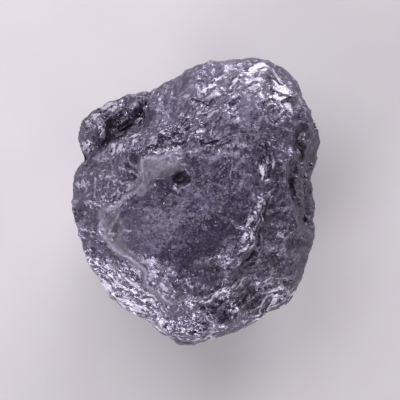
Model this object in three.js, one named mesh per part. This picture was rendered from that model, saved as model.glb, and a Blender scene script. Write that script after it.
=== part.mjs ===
// A rough grey diamond of about nine carats: one natural, unbroken solid.
//
// The stone is a surface round a point inside it, its heart. Every direction from the heart gets one point:
// first on a blocky core of broad, blunted faces, with a lower skirt of lobes grown on its sides, then
// moved by the relief (crevices, ledges, hollows, swells and crystal facets). An old cleavage face
// underneath is exactly flat, and the stone rests on it.
//
// Millimetres, +Z up. The origin is on the resting face, below the middle of the stone's plan.
import * as THREE from "three";
import { mergeVertices } from "three/addons/utils/BufferGeometryUtils.js";

// ---- Driving dimensions ---------------------------------------------------------------------------------

const MESH_DETAIL = 19; // each icosahedron edge is cut into this many parts, and one more
const HEART_HEIGHT = 3.7; // from the resting face up to the point that the radii start from
const SKIRT_TOP = 1.75; // height of the lobes' tops above that point
const CORE_SHARPNESS = 13; // how little the core's edges are blunted: a power, larger for sharper edges
const SKIRT_SHARPNESS = 5; // the lobes are rounder
const GIRDLE_SPREAD = 24; // degrees above and below the girdle in which its bumps die out
const MEAN_SPREAD = 25; // degrees to each side over which the plan is averaged away from the girdle
const GIRDLE_TILT = 6; // degrees that the girdle lies above the heart
const GIRDLE_LEVEL = 0.5; // height of the girdle above the heart
const GIRDLE_BAND = 1.2; // height above and below it in which the facets are flatter
const AZIMUTH_STEPS = 720; // entries in a table of values round the whole turn
const DEGREE = Math.PI / 180;
const TURN = 2 * Math.PI;

// Plan of the whole stone at its girdle, counter-clockwise from +X.
const GIRDLE = [
  [4.9, -0.05], [4.8, 0.5], [4.76, 1.1], [4.9, 1.55], [5.05, 2.15], [5.14, 2.55], [5.0, 3.0],
  [4.85, 3.45], [4.7, 3.8], [4.4, 4.3], [4.38, 4.55], [4.15, 5.05], [3.7, 5.55], [3.3, 5.77],
  [2.6, 5.98], [1.5, 5.92], [0.4, 5.8], [-0.2, 5.63], [-0.45, 5.5], [-0.7, 5.25], [-1.3, 4.93],
  [-1.95, 4.6], [-2.05, 4.63], [-2.75, 4.5], [-3.55, 4.18], [-3.95, 4.05], [-4.45, 3.62],
  [-4.85, 3.1], [-4.91, 2.8], [-4.8, 2.28], [-4.54, 1.86], [-4.8, 1.63], [-5.05, 1.15],
  [-5.02, 0.9], [-5.14, 0.1], [-5.05, -0.25], [-4.85, -1.2], [-4.55, -2.1], [-4.45, -2.5],
  [-4.35, -2.78], [-3.95, -3.2], [-3.7, -3.75], [-3.4, -4.1], [-2.7, -4.6], [-1.95, -4.95],
  [-1.65, -5.35], [-1.05, -5.7], [-0.55, -5.95], [-0.28, -5.99], [0.4, -5.75], [1.25, -5.5],
  [2.05, -5.17], [2.7, -4.8], [3.0, -4.48], [3.65, -4.3], [4.0, -4.0], [4.1, -3.7],
  [4.35, -3.22], [4.52, -2.65], [4.7, -2.05], [4.75, -1.78], [4.98, -1.4], [5.0, -1.18],
  [4.78, -0.78], [4.9, -0.45],
];

// Plan of the core, which stands in from the lobes on the right and at the upper left.
const CORE = [
  [3.98, 0.2], [3.98, 0.9], [4.14, 1.55], [4.3, 2.15], [4.27, 2.8], [4.31, 3.4], [4.36, 3.9],
  [4.4, 4.3], [4.38, 4.55], [4.15, 5.05], [3.7, 5.55], [3.3, 5.77], [2.6, 5.98], [1.5, 5.92],
  [0.4, 5.8], [-0.2, 5.63], [-0.7, 5.25], [-1.3, 4.9], [-1.8, 4.6], [-1.92, 4.05], [-2.0, 3.5],
  [-2.25, 3.1], [-2.6, 2.85], [-3.15, 2.6], [-3.7, 2.33], [-4.1, 2.1], [-4.47, 1.84],
  [-4.8, 1.6], [-5.05, 1.15], [-5.02, 0.9], [-5.14, 0.1], [-5.05, -0.25], [-4.85, -1.2],
  [-4.55, -2.1], [-4.45, -2.5], [-4.35, -2.78], [-3.95, -3.2], [-3.7, -3.75], [-3.4, -4.1],
  [-2.7, -4.6], [-1.95, -4.95], [-1.65, -5.35], [-1.05, -5.7], [-0.55, -5.95], [-0.28, -5.99],
  [0.4, -5.75], [1.25, -5.5], [2.05, -5.17], [2.7, -4.8], [3.0, -4.48], [3.65, -4.3],
  [4.0, -4.0], [4.1, -3.7], [4.35, -3.22], [4.52, -2.65], [4.65, -2.05], [4.56, -1.5],
  [4.3, -0.95], [4.1, -0.4],
];

// Broad faces of the core: azimuth and elevation of the outward normal, and distance from the heart.
const UPPER_FACES = [
  { name: "plateau", azimuth: 215, elevation: 86, distance: 3.95 },
  { name: "right_slope", azimuth: 25, elevation: 72, distance: 4.52 },
  { name: "top_slope", azimuth: 80, elevation: 48, distance: 5.2 },
  { name: "upper_left_slope", azimuth: 125, elevation: 52, distance: 4.5 },
  { name: "upper_band", azimuth: 130, elevation: 68, distance: 4.4 },
  { name: "left_shelf", azimuth: 185, elevation: 62, distance: 4.4 },
  { name: "lower_left_slope", azimuth: 232, elevation: 38, distance: 4.8 },
  { name: "bottom_slope", azimuth: 280, elevation: 42, distance: 4.75 },
  { name: "lower_right_slope", azimuth: 325, elevation: 50, distance: 4.4 },
];
const LOWER_FACES = [
  { name: "under_right", azimuth: 12, elevation: -42, distance: 4.3 },
  { name: "under_back", azimuth: 72, elevation: -36, distance: 4.9 },
  { name: "under_upper_left", azimuth: 138, elevation: -47, distance: 4.35 },
  { name: "under_left", azimuth: 193, elevation: -33, distance: 4.5 },
  { name: "under_front", azimuth: 252, elevation: -44, distance: 4.75 },
  { name: "under_lower_right", azimuth: 308, elevation: -37, distance: 4.6 },
];

// Crevices in the upper side, by their course in plan.
const CREVICES = [
  {
    name: "upper_left",
    course: [[-4.55, 1.9], [-4.1, 2.15], [-3.65, 2.42], [-3.1, 2.7], [-2.55, 2.95], [-2.15, 3.2],
      [-1.98, 3.6], [-1.95, 4.1], [-1.93, 4.6]],
    width: 0.3,
    depth: 0.45,
  },
  {
    name: "lobe_split",
    course: [[-3.72, 3.5], [-3.68, 3.1], [-3.78, 2.6]],
    width: 0.16,
    depth: 0.28,
  },
  {
    name: "right",
    course: [[4.38, 4.3], [4.36, 3.8], [4.3, 3.2], [4.25, 2.6], [4.3, 2.1], [4.12, 1.5],
      [3.98, 0.9], [3.96, 0.2], [4.1, -0.35], [4.4, -0.65], [4.85, -0.78]],
    width: 0.2,
    depth: 0.35,
  },
  { name: "right_split", course: [[4.1, 1.35], [4.5, 1.1], [4.8, 1.05]], width: 0.14, depth: 0.2 },
  { name: "upper", course: [[-0.15, 3.95], [0.2, 3.83], [0.5, 3.8], [0.68, 4.0]], width: 0.16, depth: 0.4 },
  { name: "middle_crack", course: [[0.25, 2.28], [0.6, 2.33], [0.85, 2.42]], width: 0.08, depth: 0.25 },
  { name: "lower_hollow", course: [[0.1, -2.32], [0.5, -2.45], [0.95, -2.5]], width: 0.26, depth: 0.3 },
];

// Ledges: the ground on the left of each course, going along it, stands higher by the rise, out to the reach.
const LEDGES = [
  {
    name: "plateau_left",
    course: [[0.85, 2.45], [0.2, 2.25], [-0.65, 2.1], [-1.5, 1.87], [-2.25, 1.83], [-2.28, 1.1],
      [-2.4, 0.6], [-2.8, 0.28], [-3.25, 0.05], [-3.8, -0.12], [-3.85, -0.95], [-3.65, -1.55],
      [-3.15, -1.9], [-2.65, -2.22], [-2.2, -2.48], [-2.03, -3.0], [-1.8, -3.45], [-1.25, -3.85],
      [-0.75, -4.03]],
    width: 0.16,
    rise: 0.42,
    reach: 1.9,
  },
  {
    name: "lower_right_ridge",
    course: [[-0.75, -4.0], [0.15, -3.72], [0.8, -3.5], [1.4, -3.15], [1.74, -2.5], [2.1, -1.7],
      [2.4, -1.05], [2.7, -0.35], [3.0, 0.1]],
    width: 0.18,
    rise: 0.26,
    reach: 0.7,
  },
];

// Hollows and knobs in the upper side: place in plan, radius, and depth, which is negative for a knob.
const HOLLOWS = [
  { name: "main_pit", at: [-0.66, 1.05], radius: 0.27, depth: 0.34 },
  { name: "pit_lip", at: [-0.75, 1.45], radius: 0.34, depth: -0.13 },
  { name: "right_pit", at: [2.78, 1.85], radius: 0.34, depth: 0.32 },
  { name: "ridge_pit", at: [2.95, -0.5], radius: 0.28, depth: 0.26 },
  { name: "corner_pit", at: [2.28, -3.5], radius: 0.22, depth: 0.3 },
  { name: "shelf_hollow", at: [-2.55, 0.85], radius: 0.42, depth: 0.14 },
  { name: "lobe_hollow", at: [4.4, 2.85], radius: 0.28, depth: 0.18 },
  { name: "tip_pit_right", at: [1.53, -4.83], radius: 0.22, depth: 0.22 },
  { name: "tip_pit_left", at: [0.6, -5.15], radius: 0.22, depth: 0.18 },
  { name: "far_left_knob", at: [-4.25, 2.85], radius: 0.6, depth: -0.16 },
];

// Hollows anywhere else, by the direction from the heart.
const SIDE_HOLLOWS = [
  { name: "right_side", azimuth: 350, elevation: -18, radius: 0.7, depth: 0.24 },
  { name: "back_side", azimuth: 96, elevation: -12, radius: 0.85, depth: 0.26 },
  { name: "left_side", azimuth: 176, elevation: -20, radius: 0.75, depth: 0.22 },
  { name: "front_side", azimuth: 262, elevation: -14, radius: 0.6, depth: 0.22 },
  { name: "under_pit", azimuth: 215, elevation: -38, radius: 0.5, depth: 0.2 },
  { name: "under_back_pit", azimuth: 40, elevation: -40, radius: 0.55, depth: 0.2 },
];

// Slow swells of the whole surface: direction of the wave, wavelength, phase and height.
const SWELLS = [
  { along: [0.8, 0.3, 0.52], wavelength: 4.1, phase: 0.4, height: 0.055 },
  { along: [-0.35, 0.9, 0.26], wavelength: 3.3, phase: 2.1, height: 0.05 },
  { along: [0.2, -0.45, 0.87], wavelength: 2.7, phase: 4.4, height: 0.045 },
  { along: [0.6, 0.62, -0.5], wavelength: 1.9, phase: 1.2, height: 0.03 },
];

// Crystal facets: size of one facet, its greatest slope, how far it may stand proud or sunk, and a seed.
const CRYSTALS = [
  { size: 1.8, slope: 0.24, rise: 0.06, seed: 1 },
  { size: 0.95, slope: 0.18, rise: 0.08, seed: 2 },
];
const GIRDLE_CALM = 0.6; // how much flatter the facets are along the girdle

// ---- Small helpers --------------------------------------------------------------------------------------

const smoothstep = (low, high, x) => THREE.MathUtils.smoothstep(x, low, high);

function directionOf(azimuth, elevation) {
  const a = azimuth * DEGREE;
  const e = elevation * DEGREE;
  return new THREE.Vector3(Math.cos(a) * Math.cos(e), Math.sin(a) * Math.cos(e), Math.sin(e));
}

// Values round the whole turn, evenly spaced from azimuth 0, read between the entries of a table.
function readRound(table, azimuth) {
  const turn = azimuth / TURN;
  const place = (turn - Math.floor(turn)) * table.length;
  const low = Math.floor(place) % table.length;
  return THREE.MathUtils.lerp(table[low], table[(low + 1) % table.length], place - Math.floor(place));
}

// Radius of a closed plan curve at an azimuth in radians, from a table worked out once.
function planRadius(points) {
  const curve = new THREE.CatmullRomCurve3(points.map(([x, y]) => new THREE.Vector3(x, y, 0)), true);
  const samples = curve.getPoints(points.length * 24).map((p) => ({
    angle: THREE.MathUtils.euclideanModulo(Math.atan2(p.y, p.x), TURN),
    radius: Math.hypot(p.x, p.y),
  }));
  samples.sort((a, b) => a.angle - b.angle);
  const first = samples[0];
  const last = samples[samples.length - 1];
  samples.unshift({ angle: last.angle - TURN, radius: last.radius });
  samples.push({ angle: first.angle + TURN, radius: first.radius });
  const table = [];
  let at = 0;
  for (let i = 0; i < AZIMUTH_STEPS; i++) {
    const angle = (i / AZIMUTH_STEPS) * TURN;
    while (samples[at + 1].angle < angle) at++;
    const [a, b] = [samples[at], samples[at + 1]];
    table.push(THREE.MathUtils.mapLinear(angle, a.angle, b.angle, a.radius, b.radius));
  }
  return (azimuth) => readRound(table, azimuth);
}

// Distance from a point to a course in plan, and the side it lies on: +1 on the left, going along.
function nearestOnCourse(x, y, course) {
  let best = { distance: Infinity, side: 1 };
  for (let i = 0; i + 1 < course.length; i++) {
    const [ax, ay] = course[i];
    const [bx, by] = course[i + 1];
    const [dx, dy] = [bx - ax, by - ay];
    const share = THREE.MathUtils.clamp(((x - ax) * dx + (y - ay) * dy) / (dx * dx + dy * dy), 0, 1);
    const distance = Math.hypot(x - ax - share * dx, y - ay - share * dy);
    if (distance < best.distance) best = { distance, side: Math.sign(dx * (y - ay) - dy * (x - ax)) || 1 };
  }
  return best;
}

// A fixed scatter of numbers from 0 to 1, one for each cell and seed.
function scatter(i, j, k, seed) {
  const wave = Math.sin(i * 127.1 + j * 311.7 + k * 74.7 + seed * 19.19) * 43758.5453;
  return wave - Math.floor(wave);
}

// ---- The stone's surface --------------------------------------------------------------------------------

const girdleRadius = planRadius(GIRDLE);
const coreRadius = planRadius(CORE);
const faces = [...UPPER_FACES, ...LOWER_FACES].map((f) => ({
  normal: directionOf(f.azimuth, f.elevation),
  distance: f.distance,
}));
const lowerFaces = faces.slice(UPPER_FACES.length);

// A plan radius whose bumps die out away from the girdle, towards the mean radius of the plan round there.
function fadedRadius(radiusAt, azimuth, elevation) {
  const near = [-1, -0.5, 0, 0.5, 1].map((share) => radiusAt(azimuth + share * MEAN_SPREAD * DEGREE));
  const mean = near.reduce((a, b) => a + b, 0) / near.length;
  const away = (elevation / DEGREE - GIRDLE_TILT) / GIRDLE_SPREAD;
  return mean + (radiusAt(azimuth) - mean) * Math.exp(-away * away);
}

// A blunted block of faces and an upright wall: each term says how full the direction is of one of them.
function blockRadius(direction, wall, planes, sharpness) {
  let sum = (Math.hypot(direction.x, direction.y) / wall) ** sharpness;
  for (const { normal, distance } of planes) {
    sum += (Math.max(0, normal.dot(direction)) / distance) ** sharpness;
  }
  return sum ** (-1 / sharpness);
}

function bodyRadius(direction) {
  const azimuth = Math.atan2(direction.y, direction.x);
  const elevation = Math.asin(direction.z);
  const core = blockRadius(direction, fadedRadius(coreRadius, azimuth, elevation), faces, CORE_SHARPNESS);
  const skirtFaces = [...lowerFaces, { normal: new THREE.Vector3(0, 0, 1), distance: SKIRT_TOP }];
  const wall = fadedRadius(girdleRadius, azimuth, elevation);
  return Math.max(core, blockRadius(direction, wall, skirtFaces, SKIRT_SHARPNESS));
}

// Flat facets at many angles, each bevelled down to the seams round it.
function crystalRelief(point, { size, slope, rise, seed }) {
  const p = point.clone().divideScalar(size);
  const cell = p.clone().floor();
  let [near, next, home] = [Infinity, Infinity, null];
  for (let i = -1; i <= 1; i++) {
    for (let j = -1; j <= 1; j++) {
      for (let k = -1; k <= 1; k++) {
        const [ci, cj, ck] = [cell.x + i, cell.y + j, cell.z + k];
        const seedPoint = new THREE.Vector3(
          ci + scatter(ci, cj, ck, seed),
          cj + scatter(ci, cj, ck, seed + 10),
          ck + scatter(ci, cj, ck, seed + 20),
        );
        const distance = p.distanceTo(seedPoint);
        if (distance < near) {
          next = near;
          near = distance;
          home = { cell: [ci, cj, ck], point: seedPoint };
        } else if (distance < next) next = distance;
      }
    }
  }
  const tilt = new THREE.Vector3(
    scatter(...home.cell, seed + 30) - 0.5,
    scatter(...home.cell, seed + 40) - 0.5,
    scatter(...home.cell, seed + 50) - 0.5,
  ).multiplyScalar(2 * slope);
  const bevel = smoothstep(0, 0.3, next - near);
  return size * bevel * (tilt.dot(p.sub(home.point)) + rise * (2 * scatter(...home.cell, seed + 60) - 1));
}

function relief(point) {
  const upper = smoothstep(0.1, 0.9, point.z);
  const calm = 1 - GIRDLE_CALM * Math.exp(-(((point.z - GIRDLE_LEVEL) / GIRDLE_BAND) ** 2));
  let height = 0;
  for (const swell of SWELLS) {
    const travelled = new THREE.Vector3(...swell.along).dot(point) / swell.wavelength;
    height += swell.height * Math.sin(TURN * travelled + swell.phase);
  }
  for (const { course, width, depth } of CREVICES) {
    const { distance } = nearestOnCourse(point.x, point.y, course);
    height -= upper * depth * Math.exp(-((distance / width) ** 2));
  }
  for (const { course, width, rise, reach } of LEDGES) {
    const { distance, side } = nearestOnCourse(point.x, point.y, course);
    const step = smoothstep(-width, width, side * distance);
    height += upper * rise * step * Math.exp(-((distance / reach) ** 2));
  }
  for (const { at, radius, depth } of HOLLOWS) {
    const distance = Math.hypot(point.x - at[0], point.y - at[1]);
    height -= upper * depth * Math.exp(-((distance / radius) ** 4));
  }
  for (const { center, radius, depth } of sideHollows) {
    const distance = point.distanceTo(center);
    height -= depth * Math.exp(-((distance / radius) ** 2));
  }
  for (const crystals of CRYSTALS) height += calm * crystalRelief(point, crystals);
  return height;
}

// How much each azimuth is widened, so that the widest part of the body lies on the girdle's plan.
const widening = Array.from({ length: AZIMUTH_STEPS }, (_, i) => {
  const azimuth = (i / AZIMUTH_STEPS) * TURN;
  let widest = 0;
  for (let elevation = -40; elevation <= 50; elevation += 2) {
    const radius = bodyRadius(directionOf(azimuth / DEGREE, elevation));
    widest = Math.max(widest, radius * Math.cos(elevation * DEGREE));
  }
  return girdleRadius(azimuth) / widest;
});

function bodyPoint(direction) {
  const point = direction.clone().multiplyScalar(bodyRadius(direction));
  const wider = readRound(widening, Math.atan2(direction.y, direction.x));
  return point.multiply(new THREE.Vector3(wider, wider, 1));
}

const sideHollows = SIDE_HOLLOWS.map(({ azimuth, elevation, radius, depth }) => ({
  center: bodyPoint(directionOf(azimuth, elevation)),
  radius,
  depth,
}));

// The surface in a direction, cut off flat at the resting face.
function stonePoint(direction) {
  const body = bodyPoint(direction);
  const point = body.clone().addScaledVector(direction, relief(body));
  if (point.z < -HEART_HEIGHT) point.multiplyScalar(HEART_HEIGHT / -point.z);
  return point;
}

// ---- The part -------------------------------------------------------------------------------------------

function makeStone() {
  const sphere = new THREE.IcosahedronGeometry(1, MESH_DETAIL);
  sphere.deleteAttribute("normal");
  sphere.deleteAttribute("uv");
  const geometry = mergeVertices(sphere, 1e-5);
  const position = geometry.getAttribute("position");
  const direction = new THREE.Vector3();
  for (let i = 0; i < position.count; i++) {
    direction.fromBufferAttribute(position, i).normalize();
    const point = stonePoint(direction);
    position.setXYZ(i, point.x, point.y, point.z + HEART_HEIGHT);
  }
  geometry.computeBoundingBox();
  const middle = geometry.boundingBox.getCenter(new THREE.Vector3());
  geometry.translate(-middle.x, -middle.y, 0);
  geometry.computeVertexNormals();

  const greyDiamond = new THREE.MeshStandardMaterial({ color: 0x5c586a, roughness: 0.35, metalness: 0.0 });
  const stone = new THREE.Mesh(geometry, greyDiamond);
  stone.name = "rough_diamond";
  return stone;
}

const part = new THREE.Group();
part.add(makeStone());

export default part;
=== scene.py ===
"""A rough grey diamond of about nine carats, lying on a pale table in soft studio light.

The stone is one piece. Its surface is worked out round a point inside it, its heart: a blocky core of
broad faces, a lower skirt of lobes, and the relief on them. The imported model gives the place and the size;
the fine surface made here stands for its one node.
"""

import logging
import math
from dataclasses import dataclass, field
from enum import Enum
from typing import ClassVar

import bpy
import numpy as np
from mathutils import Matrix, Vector


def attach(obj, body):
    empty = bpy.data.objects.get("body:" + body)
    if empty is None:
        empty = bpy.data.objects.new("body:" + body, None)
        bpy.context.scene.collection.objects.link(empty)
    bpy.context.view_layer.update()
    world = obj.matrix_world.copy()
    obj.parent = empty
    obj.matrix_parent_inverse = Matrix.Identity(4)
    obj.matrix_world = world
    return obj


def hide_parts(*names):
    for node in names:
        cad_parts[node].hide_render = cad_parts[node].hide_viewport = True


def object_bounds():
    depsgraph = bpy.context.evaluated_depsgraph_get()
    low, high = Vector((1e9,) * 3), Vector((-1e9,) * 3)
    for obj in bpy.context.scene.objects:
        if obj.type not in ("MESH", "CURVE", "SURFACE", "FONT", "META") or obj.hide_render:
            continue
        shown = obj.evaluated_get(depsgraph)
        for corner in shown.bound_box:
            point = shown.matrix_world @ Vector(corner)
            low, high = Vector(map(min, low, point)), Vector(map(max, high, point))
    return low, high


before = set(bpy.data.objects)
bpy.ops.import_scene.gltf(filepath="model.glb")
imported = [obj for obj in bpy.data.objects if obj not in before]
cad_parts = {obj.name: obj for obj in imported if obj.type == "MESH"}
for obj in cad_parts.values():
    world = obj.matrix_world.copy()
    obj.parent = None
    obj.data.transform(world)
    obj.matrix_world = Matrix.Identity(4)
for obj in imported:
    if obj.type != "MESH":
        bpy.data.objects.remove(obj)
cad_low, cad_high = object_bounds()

Array = np.ndarray
Plan = tuple[tuple[float, float], ...]

LOG = logging.getLogger("rough_diamond")
MM = 0.001  # metres in a millimetre: the stone is worked out in millimetres
NODE = "rough_diamond"


# ---- Small maths ----------------------------------------------------------------------------------------


def smoothstep(low: float, high: float, x: Array) -> Array:
    """Returns 0 below low, 1 above high and a smooth rise between them."""
    t = np.clip((x - low) / (high - low), 0.0, 1.0)
    return t * t * (3.0 - 2.0 * t)


def unit(vectors: Array) -> Array:
    """Returns the vectors at length 1."""
    return vectors / np.maximum(np.linalg.norm(vectors, axis=-1, keepdims=True), 1e-12)


def direction_of(azimuth: float, elevation: float) -> Array:
    """Returns the direction at an azimuth and an elevation in degrees."""
    a, e = math.radians(azimuth), math.radians(elevation)
    return np.array([math.cos(a) * math.cos(e), math.sin(a) * math.cos(e), math.sin(e)])


# A grid cell's whole numbers are folded into one key, and the last digits of a tall sine wave at that key
# are as good as drawn by lot. They are the same in every run.
CELL_KEY = np.array([127.1, 311.7, 74.7])
SEED_STEP = 19.19
WAVE_HEIGHT = 43758.5453


def drawn(keys: Array) -> Array:
    """Returns a fixed number from 0 to 1 for each key."""
    wave = np.sin(keys) * WAVE_HEIGHT
    return wave - np.floor(wave)


def scatter(cells: Array, *seeds: float) -> list[Array]:
    """Gives each cell of a grid fixed numbers from 0 to 1.

    Args:
        cells: whole-number places, one row of three for each cell.
        seeds: each picks another set of numbers.

    Returns:
        For each seed, one number for each row.
    """
    keys = cells @ CELL_KEY
    return [drawn(keys + seed * SEED_STEP) for seed in seeds]


def value_noise(points: Array, size: float, seed: float) -> Array:
    """Smooth noise from -1 to 1 that changes over about one size.

    Args:
        points: places, one row each.
        size: the length over which the noise changes.
        seed: picks another pattern.

    Returns:
        One number for each point.
    """
    p = points / size
    cell = np.floor(p)
    share = p - cell
    x, y, z = (share * share * (3.0 - 2.0 * share)).T
    keys = cell @ CELL_KEY + seed * SEED_STEP
    level = {corner: drawn(keys + CELL_KEY @ corner) for corner in np.ndindex(2, 2, 2)}
    for j, k in np.ndindex(2, 2):
        level[j, k] = level[0, j, k] + x * (level[1, j, k] - level[0, j, k])
    low = level[0, 0] + y * (level[1, 0] - level[0, 0])
    high = level[0, 1] + y * (level[1, 1] - level[0, 1])
    return 2.0 * (low + z * (high - low)) - 1.0


def fractal_noise(points: Array, size: float, seed: float, octaves: int = 3) -> Array:
    """Noise with finer noise on it, each octave half as large and half as strong.

    Args:
        points: places, one row each.
        size: the length over which the coarsest noise changes.
        seed: picks another pattern.
        octaves: how many noises are added.

    Returns:
        One number from about -1 to 1 for each point.
    """
    layers = [value_noise(points, size / 2**i, seed + 7 * i) / 2**i for i in range(octaves)]
    return np.sum(layers, axis=0) / (2.0 - 0.5 ** (octaves - 1))


def drawn_out(points: Array, azimuth: float, elevation: float, longer: float) -> Array:
    """Shortens places along one direction, so that a pattern laid on them comes out longer that way.

    Args:
        points: places, one row each.
        azimuth: of the direction, in degrees.
        elevation: of the direction, in degrees.
        longer: how many times longer the pattern comes out.

    Returns:
        The shortened places.
    """
    axis = direction_of(azimuth, elevation)
    along = (points @ axis)[:, None] * axis
    return points + along * (1.0 / longer - 1.0)


def smooth_line(points: Plan, closed: bool, steps: int) -> Array:
    """Draws a smooth line through points.

    Args:
        points: the points that the line passes through, in plan.
        closed: whether the line comes back to its start.
        steps: how many straight pieces stand for each stretch between two points.

    Returns:
        The line's places, one row each.
    """
    p = np.array(points)
    if closed:
        before, after, far = np.roll(p, 1, 0), np.roll(p, -1, 0), np.roll(p, -2, 0)
    else:
        ends = np.vstack([2 * p[0] - p[1], p, 2 * p[-1] - p[-2]])
        before, p, after, far = ends[:-3], ends[1:-2], ends[2:-1], ends[3:]
    t = np.linspace(0.0, 1.0, steps, endpoint=False)[None, :, None]
    a, b, c, d = (x[:, None, :] for x in (before, p, after, far))
    line = b + 0.5 * t * (c - a + t * (2 * a - 5 * b + 4 * c - d + t * (3 * (b - c) + d - a)))
    line = line.reshape(-1, 2)
    return line if closed else np.vstack([line, points[-1]])


# ---- The stone's driving shapes, in millimetres ---------------------------------------------------------

# Plan of the whole stone at its girdle, counter-clockwise from +X.
GIRDLE: Plan = (
    (4.9, -0.05), (4.8, 0.5), (4.76, 1.1), (4.9, 1.55), (5.05, 2.15), (5.14, 2.55), (5.0, 3.0),
    (4.85, 3.45), (4.7, 3.8), (4.4, 4.3), (4.38, 4.55), (4.15, 5.05), (3.7, 5.55), (3.3, 5.77),
    (2.6, 5.98), (1.5, 5.92), (0.4, 5.8), (-0.2, 5.63), (-0.45, 5.5), (-0.7, 5.25), (-1.3, 4.93),
    (-1.95, 4.6), (-2.05, 4.63), (-2.75, 4.5), (-3.55, 4.18), (-3.95, 4.05), (-4.45, 3.62),
    (-4.85, 3.1), (-4.91, 2.8), (-4.8, 2.28), (-4.54, 1.86), (-4.8, 1.63), (-5.05, 1.15),
    (-5.02, 0.9), (-5.14, 0.1), (-5.05, -0.25), (-4.85, -1.2), (-4.55, -2.1), (-4.45, -2.5),
    (-4.35, -2.78), (-3.95, -3.2), (-3.7, -3.75), (-3.4, -4.1), (-2.7, -4.6), (-1.95, -4.95),
    (-1.65, -5.35), (-1.05, -5.7), (-0.55, -5.95), (-0.28, -5.99), (0.4, -5.75), (1.25, -5.5),
    (2.05, -5.17), (2.7, -4.8), (3.0, -4.48), (3.65, -4.3), (4.0, -4.0), (4.1, -3.7),
    (4.35, -3.22), (4.52, -2.65), (4.7, -2.05), (4.75, -1.78), (4.98, -1.4), (5.0, -1.18),
    (4.78, -0.78), (4.9, -0.45),
)

# Plan of the core, which stands in from the lobes on the right and at the upper left.
CORE: Plan = (
    (3.98, 0.2), (3.98, 0.9), (4.14, 1.55), (4.3, 2.15), (4.27, 2.8), (4.31, 3.4), (4.36, 3.9),
    (4.4, 4.3), (4.38, 4.55), (4.15, 5.05), (3.7, 5.55), (3.3, 5.77), (2.6, 5.98), (1.5, 5.92),
    (0.4, 5.8), (-0.2, 5.63), (-0.7, 5.25), (-1.3, 4.9), (-1.8, 4.6), (-1.92, 4.05), (-2.0, 3.5),
    (-2.25, 3.1), (-2.6, 2.85), (-3.15, 2.6), (-3.7, 2.33), (-4.1, 2.1), (-4.47, 1.84),
    (-4.8, 1.6), (-5.05, 1.15), (-5.02, 0.9), (-5.14, 0.1), (-5.05, -0.25), (-4.85, -1.2),
    (-4.55, -2.1), (-4.45, -2.5), (-4.35, -2.78), (-3.95, -3.2), (-3.7, -3.75), (-3.4, -4.1),
    (-2.7, -4.6), (-1.95, -4.95), (-1.65, -5.35), (-1.05, -5.7), (-0.55, -5.95), (-0.28, -5.99),
    (0.4, -5.75), (1.25, -5.5), (2.05, -5.17), (2.7, -4.8), (3.0, -4.48), (3.65, -4.3),
    (4.0, -4.0), (4.1, -3.7), (4.35, -3.22), (4.52, -2.65), (4.65, -2.05), (4.56, -1.5),
    (4.3, -0.95), (4.1, -0.4),
)

# Broad faces: azimuth and elevation of the outward normal in degrees, and distance from the heart.
UPPER_FACES = (
    (216, 82.5, 3.93),  # plateau
    (25, 72, 4.52),  # right slope
    (80, 48, 5.2),  # top slope
    (125, 52, 4.5),  # upper left slope
    (130, 68, 4.4),  # upper band
    (185, 62, 4.4),  # left shelf
    (232, 38, 4.8),  # lower left slope
    (280, 42, 4.75),  # bottom slope
    (325, 50, 4.4),  # lower right slope
)
LOWER_FACES = (
    (12, -42, 4.3),
    (72, -36, 4.9),
    (138, -47, 4.35),
    (193, -33, 4.5),
    (252, -44, 4.75),
    (308, -37, 4.6),
)


class PlanCurve:
    """A closed plan as a radius at every azimuth."""

    STEPS = 24
    SPREAD = math.radians(25)  # how far to each side the plan is averaged away from the girdle
    SPREAD_SHARES = (-1, -0.5, 0, 0.5, 1)
    BUMP_HEIGHT = 6.0  # elevation in degrees at which the plan's bumps are strongest
    BUMP_REACH = 24.0  # degrees above and below over which they die out

    def __init__(self, points: Plan) -> None:
        """Keeps the plan's azimuths and radii in order round the turn.

        Args:
            points: the plan, counter-clockwise.
        """
        line = smooth_line(points, closed=True, steps=self.STEPS)
        azimuth = np.arctan2(line[:, 1], line[:, 0]) % (2 * np.pi)
        order = np.argsort(azimuth)
        self.azimuths = azimuth[order]
        self.radii = np.linalg.norm(line, axis=1)[order]

    def radius(self, azimuth: Array) -> Array:
        """Returns the radius at each azimuth in radians."""
        return np.interp(azimuth, self.azimuths, self.radii, period=2 * np.pi)

    def faded(self, azimuth: Array, elevation: Array) -> Array:
        """The radius with its bumps dying out away from the girdle.

        Args:
            azimuth: in radians.
            elevation: in radians, from the heart.

        Returns:
            One radius for each direction.
        """
        mean = np.mean([self.radius(azimuth + s * self.SPREAD) for s in self.SPREAD_SHARES], axis=0)
        away = (np.degrees(elevation) - self.BUMP_HEIGHT) / self.BUMP_REACH
        return mean + (self.radius(azimuth) - mean) * np.exp(-(away**2))


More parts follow.
